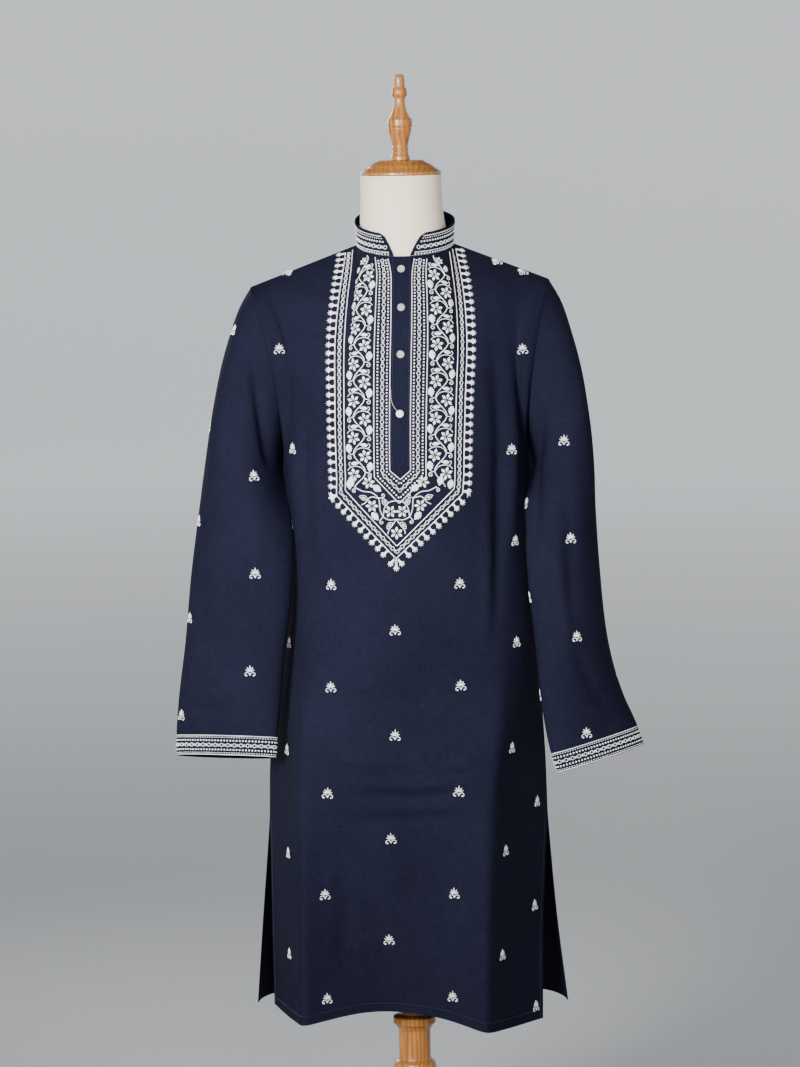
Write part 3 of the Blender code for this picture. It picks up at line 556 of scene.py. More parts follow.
def grid_normals(grid, closed):
    """A grid's outward directions, from the run of its columns and rows."""
    if closed:
        across = np.roll(grid, -1, axis=1) - np.roll(grid, 1, axis=1)
    else:
        across = np.gradient(grid, axis=1)
    return unit(np.cross(across, np.gradient(grid, axis=0)))


def relax(grid, weights, rounds, closed=False):
    """Smooths a grid along its rows, by a weight for each row, without shrinking it."""
    grid = grid.copy()
    weights = np.asarray(weights)[:, None, None]
    for strength in (SMOOTH_FORWARD, SMOOTH_BACK) * rounds:
        if closed:
            pull = (np.roll(grid, -1, axis=1) + np.roll(grid, 1, axis=1)) / 2 - grid
            grid += pull * weights * strength
        else:
            pull = (grid[:, 2:] + grid[:, :-2]) / 2 - grid[:, 1:-1]
            grid[:, 1:-1] += pull * weights * strength
    return grid


def run_lengths(grid, axis):
    """The distance along a grid's rows (axis 1) or columns (axis 0) from its first point."""
    steps = np.linalg.norm(np.diff(grid, axis=axis), axis=2)
    start = np.zeros((1, grid.shape[1])) if axis == 0 else np.zeros((grid.shape[0], 1))
    return np.concatenate([start, np.cumsum(steps, axis=axis)], axis=axis)


print("smoothing steps:", SMOOTH_FORWARD, SMOOTH_BACK)

# %% Make a mesh with cloth coordinates


def new_piece(name, points, faces, uv=None, sharp=60):
    """A piece from its points and faces, with cloth coordinates in metres if it has them."""
    mesh = bpy.data.meshes.new(name)
    mesh.from_pydata(np.asarray(points).tolist(), [], faces)
    if uv is not None:
        layer = mesh.uv_layers.new(name="cloth")
        order = np.zeros(len(mesh.loops), int)
        mesh.loops.foreach_get("vertex_index", order)
        layer.data.foreach_set("uv", np.asarray(uv)[order].astype(np.float32).ravel())
    return ride_smooth(mesh, sharp)


def link_object(data):
    """A new object in the scene, named after its data."""
    made = bpy.data.objects.new(data.name, data)
    bpy.context.scene.collection.objects.link(made)
    return made


def ride_smooth(mesh, sharp):
    """An object that rides on the frame, smooth but for corners sharper than an angle in degrees."""
    mesh.shade_smooth()
    mesh.set_sharp_from_angle(angle=math.radians(sharp))
    made = link_object(mesh)
    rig.ride(made, "root")
    return made


def grid_faces(rows, count, closed, shift, flip=False):
    """The faces of one layer of a grid."""
    faces = []
    for row in range(rows - 1):
        for column in range(count if closed else count - 1):
            a = row * count + column + shift
            b = row * count + (column + 1) % count + shift
            face = (a, b, b + count, a + count)
            faces.append(face[::-1] if flip else face)
    return faces


def shell(name, grid, normals, closed=False, thickness=CLOTH):
    """A sheet of cloth: the grid, the same grid moved in by the thickness, and the edges between."""
    rows, count, _ = grid.shape
    shift = rows * count
    inner = grid - normals * thickness
    faces = grid_faces(rows, count, closed, 0) + grid_faces(rows, count, closed, shift, flip=True)
    for column in range(count if closed else count - 1):
        a = column
        b = (column + 1) % count
        faces.append((a, a + shift, b + shift, b))
        a += (rows - 1) * count
        b += (rows - 1) * count
        faces.append((a, b, b + shift, a + shift))
    if not closed:
        for row in range(rows - 1):
            a = row * count
            faces.append((a, a + count, a + count + shift, a + shift))
            a += count - 1
            faces.append((a, a + shift, a + count + shift, a + count))
    uv = np.stack([run_lengths(grid, 1), run_lengths(grid, 0)], axis=2).reshape(-1, 2)
    points = np.concatenate([grid.reshape(-1, 3), inner.reshape(-1, 3)])
    return new_piece(name, points, faces, np.concatenate([uv, uv]))


print("cloth thickness, mm:", CLOTH * 1000)

# %% The front and back grids
# How many steps a panel has: across each part of the half panel, and up its three stretches
Steps = namedtuple("Steps", "neck shoulder armhole skirt hip yoke")
FRONT_STEPS = Steps(neck=26, shoulder=20, armhole=22, skirt=62, hip=112, yoke=84)
BACK_STEPS = Steps(neck=20, shoulder=16, armhole=20, skirt=46, hip=78, yoke=66)
# How often the rows are smoothed, forward and back
FRONT_ROUNDS = 110
BACK_ROUNDS = 80


def columns(steps):
    """The columns of a panel, from its left side seam to its right one."""
    neck = np.linspace(0, NECK_COLUMN, steps.neck + 1)
    shoulder = np.linspace(NECK_COLUMN, SHOULDER_COLUMN, steps.shoulder + 1)[1:]
    armhole = np.linspace(SHOULDER_COLUMN, 1, steps.armhole + 1)[1:]
    half = np.concatenate([neck, shoulder, armhole])
    return np.concatenate([-half[:0:-1], half])


def panel_points(front, steps):
    """The grid of a panel's outer face. The back's columns run from right to left."""
    order = columns(steps) if front else columns(steps)[::-1]
    hem = read(HEM_LINE, "front" if front else "back", order)
    rows = []
    for share in np.arange(steps.skirt) / steps.skirt:
        rows.append(skirt_point(order, hem + (SLIT_TOP - hem) * share, front))
    for z in np.linspace(SLIT_TOP, CHEST, steps.hip + 1):
        rows.append(skirt_point(order, z + 0 * order, front))
    for share in np.linspace(0, 1, steps.yoke + 1)[1:]:
        rows.append(yoke_point(order, share + 0 * order, front))
    return np.array(rows)


def yoke_weights(steps, soft_share=0.93):
    """How much each row is smoothed: fully, but not at the seams."""
    share = np.linspace(0, 1, steps.yoke + 1)[1:]
    yoke = np.clip((1 - share) / (1 - soft_share), 0, 1)
    return np.concatenate([np.ones(steps.skirt + steps.hip + 1), yoke])


front_grid = relax(panel_points(True, FRONT_STEPS), yoke_weights(FRONT_STEPS), FRONT_ROUNDS)
back_grid = relax(panel_points(False, BACK_STEPS), yoke_weights(BACK_STEPS), BACK_ROUNDS)
print("front grid", front_grid.shape, "back grid", back_grid.shape)

# %% The sleeve grids
SLEEVE_AROUND = 88
SLEEVE_DOWN = 150
SLEEVE_ROUNDS = 4
STIFF_ROWS = 8


def sleeve_ring(row, side, angle):
    """One of a sleeve's sections, at the same angles as the armhole."""
    outer = np.array([side * row.out_x, row.out_y, row.out_z])
    inner = np.array([side * row.in_x, row.in_y, row.in_z])
    level = unit((outer - inner)[:2])
    forward = np.array([level[1], -level[0]]) * side
    bulge = np.where(np.sin(angle) > 0, row.front, row.back)
    off = np.arctan2(np.sin(angle - RIDGE_ANGLE), np.cos(angle - RIDGE_ANGLE))
    bulge_out = bulge * np.sin(angle) + row.ridge * np.exp(-((off / RIDGE_SPREAD) ** 2))
    reach = np.cos(angle)[:, None] * (outer - inner) / 2
    swell = stack(forward[0] * bulge_out, forward[1] * bulge_out, row.lift * np.sin(angle))
    return (outer + inner) / 2 + reach + swell


def through_rings(rings, count):
    """A smooth run of rings through a few given ones, evenly spaced along the tube."""
    places = chord_lengths(rings.mean(axis=1))
    return smooth_run(places, rings, np.linspace(0, places[-1], count))


def sleeve_points(side, sections):
    """The grid of a sleeve's tube, from the cuff up to just off the armhole."""
    angles = whole_turn(SLEEVE_AROUND)
    rings = [armhole_point(side, angles) + armhole_axis(side) * SEAT_GAP]
    rings += [sleeve_ring(row, side, angles) for row in sections]
    grid = through_rings(np.array(rings), SLEEVE_DOWN)[::-1]
    return grid[:, ::-1] if side > 0 else grid


sleeve_weights = np.clip(np.arange(SLEEVE_DOWN)[::-1] / STIFF_ROWS, 0, 1) ** 2
left_grid = relax(sleeve_points(-1, LEFT_SLEEVE), sleeve_weights, SLEEVE_ROUNDS, closed=True)
right_grid = relax(sleeve_points(1, RIGHT_SLEEVE), sleeve_weights, SLEEVE_ROUNDS, closed=True)
print("sleeve grids", left_grid.shape, right_grid.shape)

# %% [markdown]
# ## Creases
# Pressed cloth keeps soft marks where it was folded, and it wrinkles where the body holds it up. A
# cloth simulation would make such folds by itself, but not these ones. So each crease is drawn here as
# a short line with its own width and depth. A point of the cloth is moved along its outward
# direction by an amount that falls off smoothly with its distance from the line. A trough has
# a depth below zero, a ridge above.

# %% Press creases into a grid
# A crease's path is in X and Z, as seen from the front or from the back, in metres
Crease = namedtuple("Crease", "path width depth")
CREASE_SCALE = 2.1
CREASE_TAPER = 0.6
TURN_AWAY = 4


def path_distance(points, path):
    """Each point's distance from a line in X and Z, and how far along the line it lies, from 0 to 1."""
    path = np.array(path)
    starts = chord_lengths(path)
    best = np.full(points.shape[:-1], 1e9)
    along = np.zeros(points.shape[:-1])
    for i, length in enumerate(np.linalg.norm(np.diff(path, axis=0), axis=1)):
        run = (path[i + 1] - path[i]) / length
        t = np.clip((points - path[i]) @ run, 0, length)
        away = np.linalg.norm(points - path[i] - t[..., None] * run, axis=-1)
        nearer = away < best
        best = np.where(nearer, away, best)
        along = np.where(nearer, (starts[i] + t) / starts[-1], along)
    return best, along


def press(grid, creases, closed=False, facing=-1):
    """Moves the grid's points on the facing side by each crease's own soft profile."""
    normals = grid_normals(grid, closed)
    flat = grid[..., [0, 2]]
    facing_share = np.clip(normals[..., 1] * facing * TURN_AWAY, 0, 1)
    rise = np.zeros(grid.shape[:2])
    for crease in creases:
        away, along = path_distance(flat, crease.path)
        taper = np.sin(math.pi * np.clip(along, 0.02, 0.98)) ** CREASE_TAPER
        rise += CREASE_SCALE * crease.depth * taper * np.exp(-((away / crease.width) ** 2))
    return grid + normals * (rise * facing_share)[..., None]


print("creases are scaled by", CREASE_SCALE)

# %% The creases, piece by piece
FRONT_CREASES = (
    Crease(((-0.075, 0.727), (0.000, 0.722), (0.085, 0.728)), 0.007, -0.0008),
    Crease(((-0.085, 0.742), (0.010, 0.737), (0.090, 0.744)), 0.009, 0.0026),
    Crease(((-0.080, 0.708), (0.010, 0.705), (0.085, 0.710)), 0.010, 0.0014),
    Crease(((-0.150, 0.692), (-0.080, 0.685), (0.010, 0.688), (0.110, 0.694)), 0.010, -0.0012),
    Crease(((-0.105, 0.782), (-0.050, 0.768), (-0.020, 0.772)), 0.008, 0.0013),
    Crease(((0.010, 0.780), (0.060, 0.765), (0.110, 0.776)), 0.008, 0.0015),
    Crease(((-0.130, 0.870), (-0.030, 0.863), (0.080, 0.872)), 0.018, -0.0014),
    Crease(((0.128, 1.390), (0.137, 1.250), (0.134, 1.100), (0.128, 0.960)), 0.010, -0.0030),
    Crease(((0.150, 1.370), (0.158, 1.230), (0.152, 1.080)), 0.009, 0.0026),
    Crease(((0.112, 1.180), (0.118, 1.060), (0.112, 0.930)), 0.010, 0.0014),
    Crease(((-0.140, 1.330), (-0.146, 1.200), (-0.140, 1.050)), 0.012, -0.0018),
    Crease(((-0.160, 1.250), (-0.162, 1.150), (-0.150, 1.000)), 0.010, 0.0016),
    Crease(((-0.100, 0.660), (-0.096, 0.560), (-0.104, 0.440)), 0.016, -0.0018),
    Crease(((0.040, 0.650), (0.050, 0.540), (0.044, 0.420)), 0.018, -0.0020),
    Crease(((-0.030, 0.640), (-0.028, 0.520), (-0.034, 0.410)), 0.020, 0.0016),
    Crease(((-0.120, 1.130), (-0.060, 1.005), (-0.010, 0.960)), 0.016, -0.0010),
)
BACK_CREASES = (
    Crease(((-0.090, 1.440), (-0.100, 1.300), (-0.092, 1.130)), 0.014, -0.0022),
    Crease(((0.094, 1.430), (0.102, 1.280), (0.090, 1.110)), 0.012, -0.0024),
    Crease(((-0.130, 0.980), (-0.040, 0.962), (0.060, 0.970)), 0.014, -0.0020),
    Crease(((-0.060, 0.905), (0.030, 0.898), (0.120, 0.910)), 0.013, -0.0018),
    Crease(((-0.080, 0.735), (0.010, 0.727), (0.100, 0.738)), 0.012, -0.0022),
    Crease(((0.000, 1.380), (0.004, 1.220), (-0.002, 1.060)), 0.018, 0.0014),
    Crease(((-0.120, 0.640), (-0.116, 0.540), (-0.124, 0.430)), 0.014, -0.0022),
    Crease(((0.070, 0.650), (0.078, 0.530), (0.072, 0.420)), 0.015, -0.0020),
)
LEFT_SLEEVE_CREASES = (
    Crease(((-0.318, 0.852), (-0.290, 0.846), (-0.262, 0.848)), 0.006, -0.0018),
    Crease(((-0.300, 0.872), (-0.270, 0.868), (-0.236, 0.874)), 0.008, 0.0010),
    Crease(((-0.218, 1.350), (-0.208, 1.270), (-0.196, 1.190)), 0.007, -0.0042),
    Crease(((-0.238, 1.180), (-0.262, 1.080), (-0.268, 0.980)), 0.012, -0.0016),
    Crease(((-0.212, 1.130), (-0.226, 1.020), (-0.232, 0.920)), 0.010, 0.0015),
    Crease(((-0.292, 1.050), (-0.300, 0.980), (-0.296, 0.900)), 0.010, -0.0012),
)
RIGHT_SLEEVE_CREASES = (
    Crease(((0.204, 1.300), (0.190, 1.190), (0.188, 1.080)), 0.007, -0.0030),
    Crease(((0.226, 1.200), (0.236, 1.090), (0.238, 0.980)), 0.011, -0.0018),
    Crease(((0.212, 1.120), (0.222, 1.020), (0.232, 0.910)), 0.010, 0.0016),
    Crease(((0.240, 0.930), (0.268, 0.870), (0.290, 0.840)), 0.010, -0.0016),
    Crease(((0.262, 0.820), (0.280, 0.812), (0.304, 0.818)), 0.007, -0.0012),
)
SLEEVE_BACK_CREASES = (
    Crease(((0.215, 1.230), (0.240, 1.120), (0.250, 1.000)), 0.012, -0.0024),
    Crease(((0.235, 1.130), (0.262, 1.060), (0.270, 0.960)), 0.010, 0.0016),
    Crease(((0.225, 1.060), (0.250, 1.040), (0.280, 1.046)), 0.009, -0.0020),
    Crease(((0.240, 0.980), (0.262, 0.966), (0.290, 0.972)), 0.008, -0.0016),
)


def mirrored(creases):
    return [Crease([(-x, z) for x, z in crease.path], crease.width, crease.depth) for crease in creases]


front_grid = press(front_grid, FRONT_CREASES)
back_grid = press(back_grid, BACK_CREASES, facing=1)
left_grid = press(left_grid, LEFT_SLEEVE_CREASES, closed=True)
left_grid = press(left_grid, mirrored(SLEEVE_BACK_CREASES), closed=True, facing=1)
right_grid = press(right_grid, RIGHT_SLEEVE_CREASES, closed=True)
right_grid = press(right_grid, SLEEVE_BACK_CREASES, closed=True, facing=1)
print("creases on the front:", len(FRONT_CREASES), "on the back:", len(BACK_CREASES))

# %% [markdown]
# ## Sewing the shells
# At a seam, two pieces lie edge to edge. Each panel's edge directions are kept in the plane of its
# seam, so that the thickness of one sheet never reaches into the next one.

# %% Shells of the front, back and sleeves
TINY = 1e-6
EDGE_TURN = 0.06


def panel_normals(grid, steps):
    """A panel's directions, kept in the seams' planes at its edges."""
    normals = grid_normals(grid, closed=False)
    normals[steps.skirt :, [0, -1], 1] = 0
    order = columns(steps)
    for index in np.flatnonzero(np.abs(order) > SHOULDER_COLUMN - TINY):
        outward = armhole_axis(math.copysign(1, grid[-1, index, 0]))
        normals[-1, index] += outward * max(0, EDGE_TURN - normals[-1, index] @ outward)
    seam = (np.abs(order) > NECK_COLUMN - TINY) & (np.abs(order) < SHOULDER_COLUMN + TINY)
    normals[-1, seam, 1] = 0
    return unit(normals)


def sleeve_normals(grid, side):
    """A sleeve's directions, kept in the armhole's plane at its top."""
    normals = grid_normals(grid, closed=True)
    axis = armhole_axis(side)
    spread = grid[-1] - grid[-1].mean(axis=0)
    spread -= np.outer(spread @ axis, axis)
    normals[-1] = unit(spread)
    return normals


front_normals = panel_normals(front_grid, FRONT_STEPS)
back_normals = panel_normals(back_grid, BACK_STEPS)
left_normals = sleeve_normals(left_grid, -1)
right_normals = sleeve_normals(right_grid, 1)
front_grid = front_grid + np.array([0, -SEAM_GAP / 2, 0])
back_grid = back_grid + np.array([0, SEAM_GAP / 2, 0])
front = shell("front_cloth", front_grid, front_normals)
back = shell("back_cloth", back_grid, back_normals)
left_sleeve = shell("left_sleeve_cloth", left_grid, left_normals, closed=True)
right_sleeve = shell("right_sleeve_cloth", right_grid, right_normals, closed=True)
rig.replaces(front, "front")
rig.replaces(back, "back")
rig.replaces(left_sleeve, "sleeve_left")
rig.replaces(right_sleeve, "sleeve_right")
CLOTH_PIECES = [front, back, left_sleeve, right_sleeve]
print("faces:", [len(piece.data.polygons) for piece in CLOTH_PIECES])

# %% [markdown]
# ## The collar
# A band collar is a straight strip of stiffened cloth, cut with rounded front ends and folded at its
# top edge. The strip is bent round the neckline here, with the angle at which it starts read from
# a short table, so that its ends round off as they rise.

# %% Shell of the collar
CollarEnd = namedtuple("CollarEnd", "share degrees")
COLLAR_ENDS = (
    CollarEnd(0.00, 9.5),
    CollarEnd(0.35, 13.5),
    CollarEnd(0.70, 18.5),
    CollarEnd(0.90, 22.5),
    CollarEnd(1.00, 28.0),
)
COLLAR_STEPS = 200
COLLAR_ROWS = 16
COLLAR_SHARES = np.sin(np.linspace(0, math.pi / 2, COLLAR_ROWS))
COLLAR_WALL = 0.0014
COLLAR_LEVEL = 0.2


def collar_point(angle, share):
    """A point of the collar, from the neckline (share 0) to its top edge (share 1)."""
    forward = (1 + np.cos(angle)) / 2
    height = COLLAR_HEIGHT_BACK + (COLLAR_HEIGHT_FRONT - COLLAR_HEIGHT_BACK) * forward
    flare = COLLAR_FLARE * share * np.sin(angle)
    lean = COLLAR_FRONT_LEAN * share * forward
    return neckline_point(angle) + stack(flare, lean, SEAM_GAP + height * share)


def collar_grid():
    rows = []
    for share in COLLAR_SHARES:
        first = math.radians(read(COLLAR_ENDS, "degrees", share))
        turns = np.linspace(first, 2 * math.pi - first, COLLAR_STEPS + 1)
        rows.append(collar_point(turns, share))
    return np.array(rows)


collar_rows = collar_grid()
collar_normals = grid_normals(collar_rows, closed=False)
level_normals = unit(collar_normals * np.array([1, 1, COLLAR_LEVEL]))
collar = shell("collar_band", collar_rows, level_normals, thickness=COLLAR_WALL)
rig.replaces(collar, "collar")
print("collar length, m:", round(float(run_lengths(collar_rows, 1)[0, -1]), 3))

# %% [markdown]
# ## The placket
# The opening's edge is finished with a strip that is stitched down and ends in a point. It lies on
# the front, so it is made from the front's own points, moved out by its thickness.

# %% Shell of the placket
PLACKET_HALF_WIDTH = 0.0140
PLACKET_WALL = 0.0012
PLACKET_ROWS = 150
PLACKET_COLUMNS = 13
PLACKET_POINT = 0.013
PLACKET_BLUNT = 0.06
NECK_CLEARANCE = 0.003
# How far over the cloth a stitch looks for it, and how far away it may find it
REACH = 0.012
BEHIND = 0.030


class Surface:
    """A mesh that can be asked for its point and outward direction along a ray."""

    def __init__(self, grid, closed=False):
        rows, count, _ = grid.shape
        points = [Vector(p) for p in grid.reshape(-1, 3)]
        self.tree = BVHTree.FromPolygons(points, grid_faces(rows, count, closed, 0))

    def hit(self, start, direction):
        place, normal, _, _ = self.tree.ray_cast(Vector(start), Vector(direction))
        return place, normal

    def nearest(self, place):
        found, normal, _, _ = self.tree.find_nearest(Vector(place))
        return found, normal

    def rest(self, place, out, height):
        """The point at a height over the surface, along a direction out of it."""
        place, out = Vector(place), Vector(out)
        found, _, _, away = self.tree.ray_cast(place + out * REACH, -out)
        if found is None or away > BEHIND:
            found = place
        return found + out * height


def seen(surface, x, z, facing=-1):
    """The place and the direction of a surface at X and Z, seen from the front (-1) or the back (1)."""
    return surface.hit((x, facing, z), (0, -facing, 0))


front_surface = Surface(front_grid)


def on_front(x, z, out=0.0):
    """The point of the front cloth that is seen at X and Z, moved out by a small amount."""
    place, normal = seen(front_surface, x, z)
    return np.array(place + normal * out)


centre_line = front_grid[:, front_grid.shape[1] // 2]
PLACKET_TOP = float(centre_line[-1, 2]) - NECK_CLEARANCE


def placket_line(z):
    """The placket's middle in X at a height: it follows the panel's centre line."""
    return float(np.interp(z, centre_line[:, 2], centre_line[:, 0]))


def placket_grid():
    """Rows of points across the strip, from its pointed end up to the neck."""
    rows = []
    for z in np.linspace(CHEST + TINY, PLACKET_TOP, PLACKET_ROWS):
        half = PLACKET_HALF_WIDTH * min(1, PLACKET_BLUNT + (z - CHEST) / PLACKET_POINT)
        across = placket_line(z) + np.linspace(-half, half, PLACKET_COLUMNS)
        rows.append([on_front(x, z, SEAM_GAP + PLACKET_WALL) for x in across])
    return np.array(rows)


placket_rows = placket_grid()
placket_normals = grid_normals(placket_rows, closed=False)
placket = shell("placket_strip", placket_rows, placket_normals, thickness=PLACKET_WALL)
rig.replaces(placket, "placket")
CLOTH_PIECES += [collar, placket]
print("placket length, mm:", round(1000 * float(run_lengths(placket_rows, 0)[-1, 6])))

# %% [markdown]
# ## Embroidery
# The white pattern is machine embroidery. Fine lines are sewn as a cord, and filled shapes as pads
# of satin stitches, which lie on the cloth and shine. A picture of the pattern could be used as
# a texture, but it would stay flat and blur close up. Here each shape is drawn once on a flat plane
# and then laid on the cloth as a small raised mesh, so that it catches the light like thread.
#
# The plane of a shape is a track: a line on the cloth with a direction along it, a direction across
# it and the direction out of the cloth. A border is one long track, a sprig is a very short one.

# %% Tracks that carry flat shapes onto the cloth


class Track:
    """A line on the cloth, with the way it runs and the way the cloth faces all along it."""

    def __init__(self, surface, places, normals):
        self.surface = surface
        self.places = np.asarray(places, float)
        self.normals = np.asarray(normals, float)
        self.distances = chord_lengths(self.places)
        self.length = float(self.distances[-1])
        self.runs = np.gradient(self.places, self.distances, axis=0)

    def at(self, along, values):
        """The track's values at distances along it."""
        return np.stack([np.interp(along, self.distances, values[:, k]) for k in range(3)], axis=1)

    def lay(self, flat):
        """Takes points (along, across, height) from the flat plane to the cloth."""
        along, across, height = np.asarray(flat).T
        run = unit(self.at(along, self.runs))
        out = self.at(along, self.normals)
        out = unit(out - run * (out * run).sum(axis=1, keepdims=True))
        beyond = (along - np.clip(along, 0, self.length))[:, None]
        places = self.at(along, self.places) + run * beyond + np.cross(out, run) * across[:, None]
        return np.array([self.surface.rest(p, n, h) for p, n, h in zip(places, out, height)])


def spot(surface, place, normal, lean=0.0):
    """A very short level track at one place, for a single shape; its across direction is up."""
    out = Vector(normal)
    level = Vector((0, 0, 1)).cross(out).normalized()
    level = Matrix.Rotation(lean, 3, out) @ level
    centre = Vector(place)
    ends = [centre - level * 0.0005, centre, centre + level * 0.0005]
    return Track(surface, ends, [out] * 3)


print("stitches are laid within", REACH * 1000, "mm of the cloth")

# %% Pads and cords
PAD_HEIGHT = 0.0009
CORD_WIDTH = 0.0014
CORD_HEIGHT = 0.0007
CORD_SECTION = ((-0.50, -0.15), (-0.34, 0.75), (0.0, 1.0), (0.34, 0.75), (0.50, -0.15))
PAD_RINGS = ((1.0, -0.15), (0.88, 0.62), (0.50, 0.95))
CURVE_STEP = 0.0016


def pad(outline, height=PAD_HEIGHT):
    """A filled patch of satin stitches: its outline rises in steps to a domed middle."""
    outline = np.asarray(outline, float)
    x, y = outline.T
    if (x * np.roll(y, -1) - np.roll(x, -1) * y).sum() < 0:
        outline = outline[::-1]
    count = len(outline)
    middle = outline.mean(axis=0)
    rings = [
        np.column_stack([middle + (outline - middle) * share, np.full(count, rise * height)])
        for share, rise in PAD_RINGS
    ]
    points = np.vstack([*rings, [[*middle, height]]])
    faces = []
    for i in range(count):
        after = (i + 1) % count
        for ring in (0, count):
            faces.append((ring + i, ring + after, ring + count + after, ring + count + i))
        faces.append((2 * count + i, 2 * count + after, 3 * count))
    return points, faces


def cord(path, width=CORD_WIDTH, height=CORD_HEIGHT, closed=False):
    """A stitched line: a half-round section swept along a path."""
    path = np.asarray(path, float)
    ahead = np.roll(path, -1, axis=0) - np.roll(path, 1, axis=0) if closed else np.gradient(path, axis=0)
    ahead = unit(ahead)
    left = np.column_stack([-ahead[:, 1], ahead[:, 0]])
    points = np.empty((len(path), len(CORD_SECTION), 3))
    for index, (share, rise) in enumerate(CORD_SECTION):
        points[:, index, :2] = path + left * width * share
        points[:, index, 2] = rise * height
    faces = []
    for i in range(len(path) if closed else len(path) - 1):
        a = i * len(CORD_SECTION)
        b = (i + 1) % len(path) * len(CORD_SECTION)
        faces += [(a + k, b + k, b + k + 1, a + k + 1) for k in range(len(CORD_SECTION) - 1)]
    return points.reshape(-1, 3), faces


print("points across a cord:", len(CORD_SECTION))


# %% Paths, blades and their places
def curve(controls, step=CURVE_STEP):
    """A smooth, evenly divided path through a few points."""
    controls = np.asarray(controls, float)
    keys = chord_lengths(controls)
    count = max(3, round(keys[-1] / step) + 1)
    return smooth_run(keys, controls, np.linspace(0, keys[-1], count))


def straight(start, end, step=0.0025):
    return np.linspace(start, end, max(2, round(math.dist(start, end) / step) + 1))


def blade(length, width, fullest=0.5, teeth=0.0, steps=7, sharp=0.9):
    """The outline of a petal or leaf that points along, from its root at 0."""
    share = np.linspace(0, 1, steps)
    half = width / 2 * np.sin(math.pi * share ** (math.log(0.5) / math.log(fullest))) ** sharp
    half[1:-1] *= 1 + teeth * (-1.0) ** np.arange(steps - 2)
    upper = np.column_stack([share * length, half])
    lower = np.column_stack([share * length, -half])[-2:0:-1]
    return np.concatenate([upper, lower])


def placed(points, place, turn=0.0, hand=1):
    """Turns flat points by an angle in degrees, moves them, and mirrors them if hand is -1."""
    c, s = math.cos(math.radians(turn)), math.sin(math.radians(turn))
    moved = np.asarray(points) @ np.array([[c, s], [-s, c]]) + place
    return moved * np.array([1, hand])


print("a blade's outline has", len(blade(1, 1)), "points")

# %% The pattern's parts
# Half of a bud's outline: how far along it and how far out from its middle line
BUD_HALF = (
    (0.0, 0.0021), (0.0030, 0.0014), (0.0066, 0.0024), (0.0088, 0.0050),
    (0.0096, 0.0023), (0.0126, 0.0034), (0.0108, 0.0008), (0.0144, 0.0),
)
OPEN_LEAF = (0.0120, 0.0066)
CHAIN_SPACING = 0.0050
RING_RADIUS = 0.0025
BEAD_SPACING = 0.0047
BEAD_RADIUS = 0.0014
DASH_HEIGHT = 0.0006
CURL_TURNS = np.linspace(0.3, 1.35, 12) * 2 * math.pi
CURL_REACH = np.linspace(1.0, 0.22, 12)


def disc(place, radius, steps):
    turns = whole_turn(steps)
    return np.column_stack([np.cos(turns), np.sin(turns)]) * radius + place


def bud(place, turn):
    """A bell-shaped bud: a short stalk that opens into five teeth."""
    half = np.array(BUD_HALF)
    return [pad(placed(np.concatenate([half, half[-2::-1] * (1, -1)]), place, turn))]


def flower(place, turn=0.0, hand=1, radius=0.0095):
    """Six pointed petals round an open middle."""
    petal = blade(radius * 0.90, radius * 0.46, fullest=0.58, sharp=1.5) + (radius * 0.10, 0)
    turned = [placed(petal, (0, 0), turn + way) for way in range(0, 360, 60)]
    return [pad(placed(outline, place, 0, hand)) for outline in turned]


def leaf(place, turn, hand=1, length=0.0145, width=0.0094):
    """A filled leaf with a jagged edge; its middle is at the place."""
    outline = blade(length, width, fullest=0.45, teeth=0.20, steps=11) - (length / 2, 0)
    return [pad(placed(outline, place, turn, hand))]


def drop(place, turn, hand=1, length=0.0135, width=0.0056):
    """A filled leaf with a smooth edge; its middle is at the place."""
    outline = blade(length, width, fullest=0.42, sharp=1.2) - (length / 2, 0)
    return [pad(placed(outline, place, turn, hand))]


def open_leaf(place, turn, hand=1):
    """A leaf with a sewn outline and a small filled heart."""
    length, width = OPEN_LEAF
    edge = placed(blade(length, width, fullest=0.42, steps=8) - (length / 2, 0), place, turn, hand)
    heart = placed(blade(length * 0.6, width * 0.42) - (length * 0.34, 0), place, turn, hand)
    return [cord(edge, 0.0011, closed=True), pad(heart)]


def curl(root, centre, radius, sense, hand=1):
    """A tendril that leaves its root and winds in round a centre."""
    first = math.atan2(root[1] - centre[1], root[0] - centre[0])
    turns = first + sense * CURL_TURNS
    reach = radius * CURL_REACH[:, None]
    wound = np.column_stack([np.cos(turns), np.sin(turns)]) * reach + centre
    return [cord(curve(np.vstack([[root], wound]), 0.0011) * (1, hand), 0.0012)]


def even_places(start, end, across, spacing):
    """Places of a row that fill a length evenly, close to a spacing."""
    count = round((end - start) / spacing)
    return [(start + (k + 0.5) * (end - start) / count, across) for k in range(count)]


print("corners of a bud:", 2 * len(BUD_HALF) - 1)


# %% Rows of rings, knots and dashes
def chain(start, end, across):
    """A row of open rings and small crosses in turn."""
    arm = np.array(((-0.0022, 0), (0.0022, 0)))
    made = []
    for k, place in enumerate(even_places(start, end, across, CHAIN_SPACING)):
        if k % 2 == 0:
            made.append(cord(disc(place, RING_RADIUS, 10), 0.0010, closed=True))
        else:
            made += [cord(placed(arm, place, turn), 0.0011) for turn in (50, -50)]
    return made


def beads(start, end, across):
    """A row of small round knots."""
    places = even_places(start, end, across, BEAD_SPACING)
    return [pad(disc(place, BEAD_RADIUS, 7)) for place in places]


def dashes(start, end, across, spacing=0.0038, size=(0.0020, 0.0011)):
    """A row of short straight stitches."""
    corners = np.array(((-1, -1), (1, -1), (1, 1), (-1, 1))) * np.array(size) / 2
    places = even_places(start, end, across, spacing)
    return [pad(corners + place, DASH_HEIGHT) for place in places]


